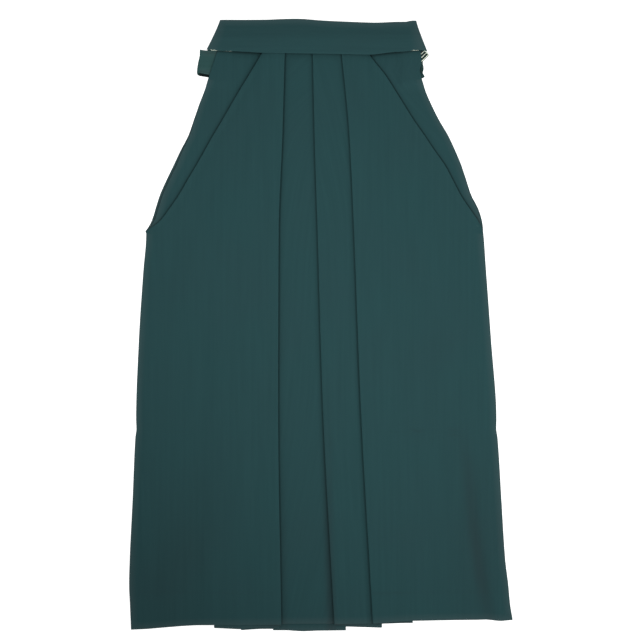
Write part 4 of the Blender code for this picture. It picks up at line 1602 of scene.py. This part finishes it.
Cut = namedtuple("Cut", "piece flat area held rests_on sewn", defaults=((),))
CUTS = (
    Cut(
        front_right, (0.68, 0.93), 0.50, "folded", ["cloth_back_right_leg", "cloth_side_fold_right"],
        (hem_sewn_right, tack_right),
    ),
    Cut(
        front_left, (0.66, 0.93), 0.52, "folded", ["cloth_back_left_leg", "cloth_side_fold_left"],
        (hem_sewn_left, tack_left),
    ),
    Cut(back_right, (0.34, 0.92), 0.27, "laid", ["cloth_back_left_leg"]),
    Cut(back_left, (0.38, 0.92), 0.31, "laid", ["floor"]),
    Cut(strip_right, (0.09, 0.30), 0.0155, "folded", ["cloth_back_right_leg"]),
    Cut(strip_left, (0.09, 0.30), 0.0145, "folded", ["cloth_back_left_leg"]),
    Cut(band_front, (0.35, 0.054), 0.0175, "laid", ["cloth_front_right_leg", "cloth_front_left_leg"]),
    Cut(band_back, (0.35, 0.052), 0.0165, "laid", ["floor"]),
    Cut(strap_right, (0.08, 0.042), 0.0032, "folded", ["cloth_back_right_leg"], (strap_sewn,)),
    Cut(strap_left, (0.052, 0.043), 0.0021, "folded", ["cloth_back_left_leg"]),
)
for cut in CUTS:
    surface = sum(face.area for face in cut.piece.data.polygons) / 2
    print(cut.piece.name, "measures", round(surface, 4), "square metres of cloth, cut", cut.area)

# %% [markdown]
# ## Floor, light and camera
#
# The garment lies on a plain pale floor. It was photographed from straight above with a long lens,
# so the camera looks straight down and there is almost no perspective. The white board under it is
# lit from below as well, as on a light table, so it glows a little and the garment throws no shadow
# on it. The light is soft: a large panel overhead, a second one at the garment's left side, and a
# pale room all round. The upper right is a little brighter for it than the lower left.

# %% The floor
FLOOR_SIZE = 14.0
FLOOR_DROP = 0.2 * MM
FLOOR_GLOW = 0.75
bpy.ops.object.select_all(action="DESELECT")
bpy.ops.mesh.primitive_plane_add(size=FLOOR_SIZE, location=(0.0, 0.0, -FLOOR_DROP))
floor = bpy.context.object
floor.name = "floor"
floor_paint, tree, output = new_material("matt_white_board")
shader = add_node(
    tree, "ShaderNodeBsdfPrincipled",
    values={
        "Base Color": linear("f2f2f0"), "Roughness": 0.9, "Specular IOR Level": 0.1,
        "Emission Color": linear("ffffff"), "Emission Strength": FLOOR_GLOW,
    },
)
tree.links.new(shader.outputs["BSDF"], output.inputs["Surface"])
floor.data.materials.append(floor_paint)
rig.stage(floor)

# %% The lights
ROOM_COLOUR = (0.97, 0.98, 1.0, 1.0)
ROOM_STRENGTH = 0.42
bpy.context.scene.view_settings.view_transform = "Standard"
room = bpy.data.worlds.new("pale_room")
bpy.context.scene.world = room
room.use_nodes = True
background = room.node_tree.nodes["Background"]
background.inputs["Color"].default_value = ROOM_COLOUR
background.inputs["Strength"].default_value = ROOM_STRENGTH

KEY_PLACE = (-0.04, -0.01, 1.01)
KEY_AIM = (0.88, 0.94, 0.0)
KEY_SIZE = 1.05
KEY_POWER = 8.4
SIDE_PLACE = (1.42, -0.24, 0.95)
SIDE_AIM = (0.10, 0.07, 0.0)
SIDE_SIZE = 0.8
SIDE_POWER = 6.8


def soft_light(name, place, aim, size, power):
    """A square light panel at a place, turned toward another."""
    lamp = bpy.data.lights.new(name, "AREA")
    lamp.shape = "SQUARE"
    lamp.size = size
    lamp.energy = power
    panel = linked(name, lamp)
    panel.visible_camera = False
    panel.location = place
    toward = [b - a for a, b in zip(place, aim)]
    flat = math.hypot(toward[0], toward[1])
    panel.rotation_euler = (math.atan2(flat, -toward[2]), 0.0, math.atan2(-toward[0], toward[1]))
    return panel


soft_light("key_panel", KEY_PLACE, KEY_AIM, KEY_SIZE, KEY_POWER)
soft_light("side_panel", SIDE_PLACE, SIDE_AIM, SIDE_SIZE, SIDE_POWER)

# %% The camera
LENS_MM = 70.0
SENSOR_MM = 36.0
PICTURE_PIXELS = 640
PIXEL_MM = 1.59
PICTURE_WIDTH = PICTURE_PIXELS * PIXEL_MM * MM
PICTURE_MIDDLE = (-0.8 * MM, 7.2 * MM)
CLOTH_TOP = 6.0 * MM
distance = PICTURE_WIDTH * LENS_MM / SENSOR_MM
lens = bpy.data.cameras.new("copy_stand")
lens.lens = LENS_MM
lens.sensor_width = SENSOR_MM
camera = linked("copy_stand", lens)
camera.location = (*PICTURE_MIDDLE, CLOTH_TOP + distance)
bpy.context.scene.camera = camera
print("camera height in metres:", round(camera.location.z, 3))

# %% [markdown]
# ## The last steps
#
# Each cloth piece is declared with its cut, and the box of all that is shown is written to a file beside the imported
# model's box, and printed.

# %% Declare, measure and finish
for cut in CUTS:
    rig.sheet(
        cut.piece, flat=cut.flat, held=cut.held, rests_on=cut.rests_on, area=cut.area,
        with_pieces=list(cut.sewn),
    )

low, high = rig.bounds()
with open("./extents.json", "w") as out:
    json.dump({"cad": [list(CAD_LOW), list(CAD_HIGH)], "visual": [list(low), list(high)]}, out)
print("visual box in mm:", [round(1000 * side, 1) for side in high - low])
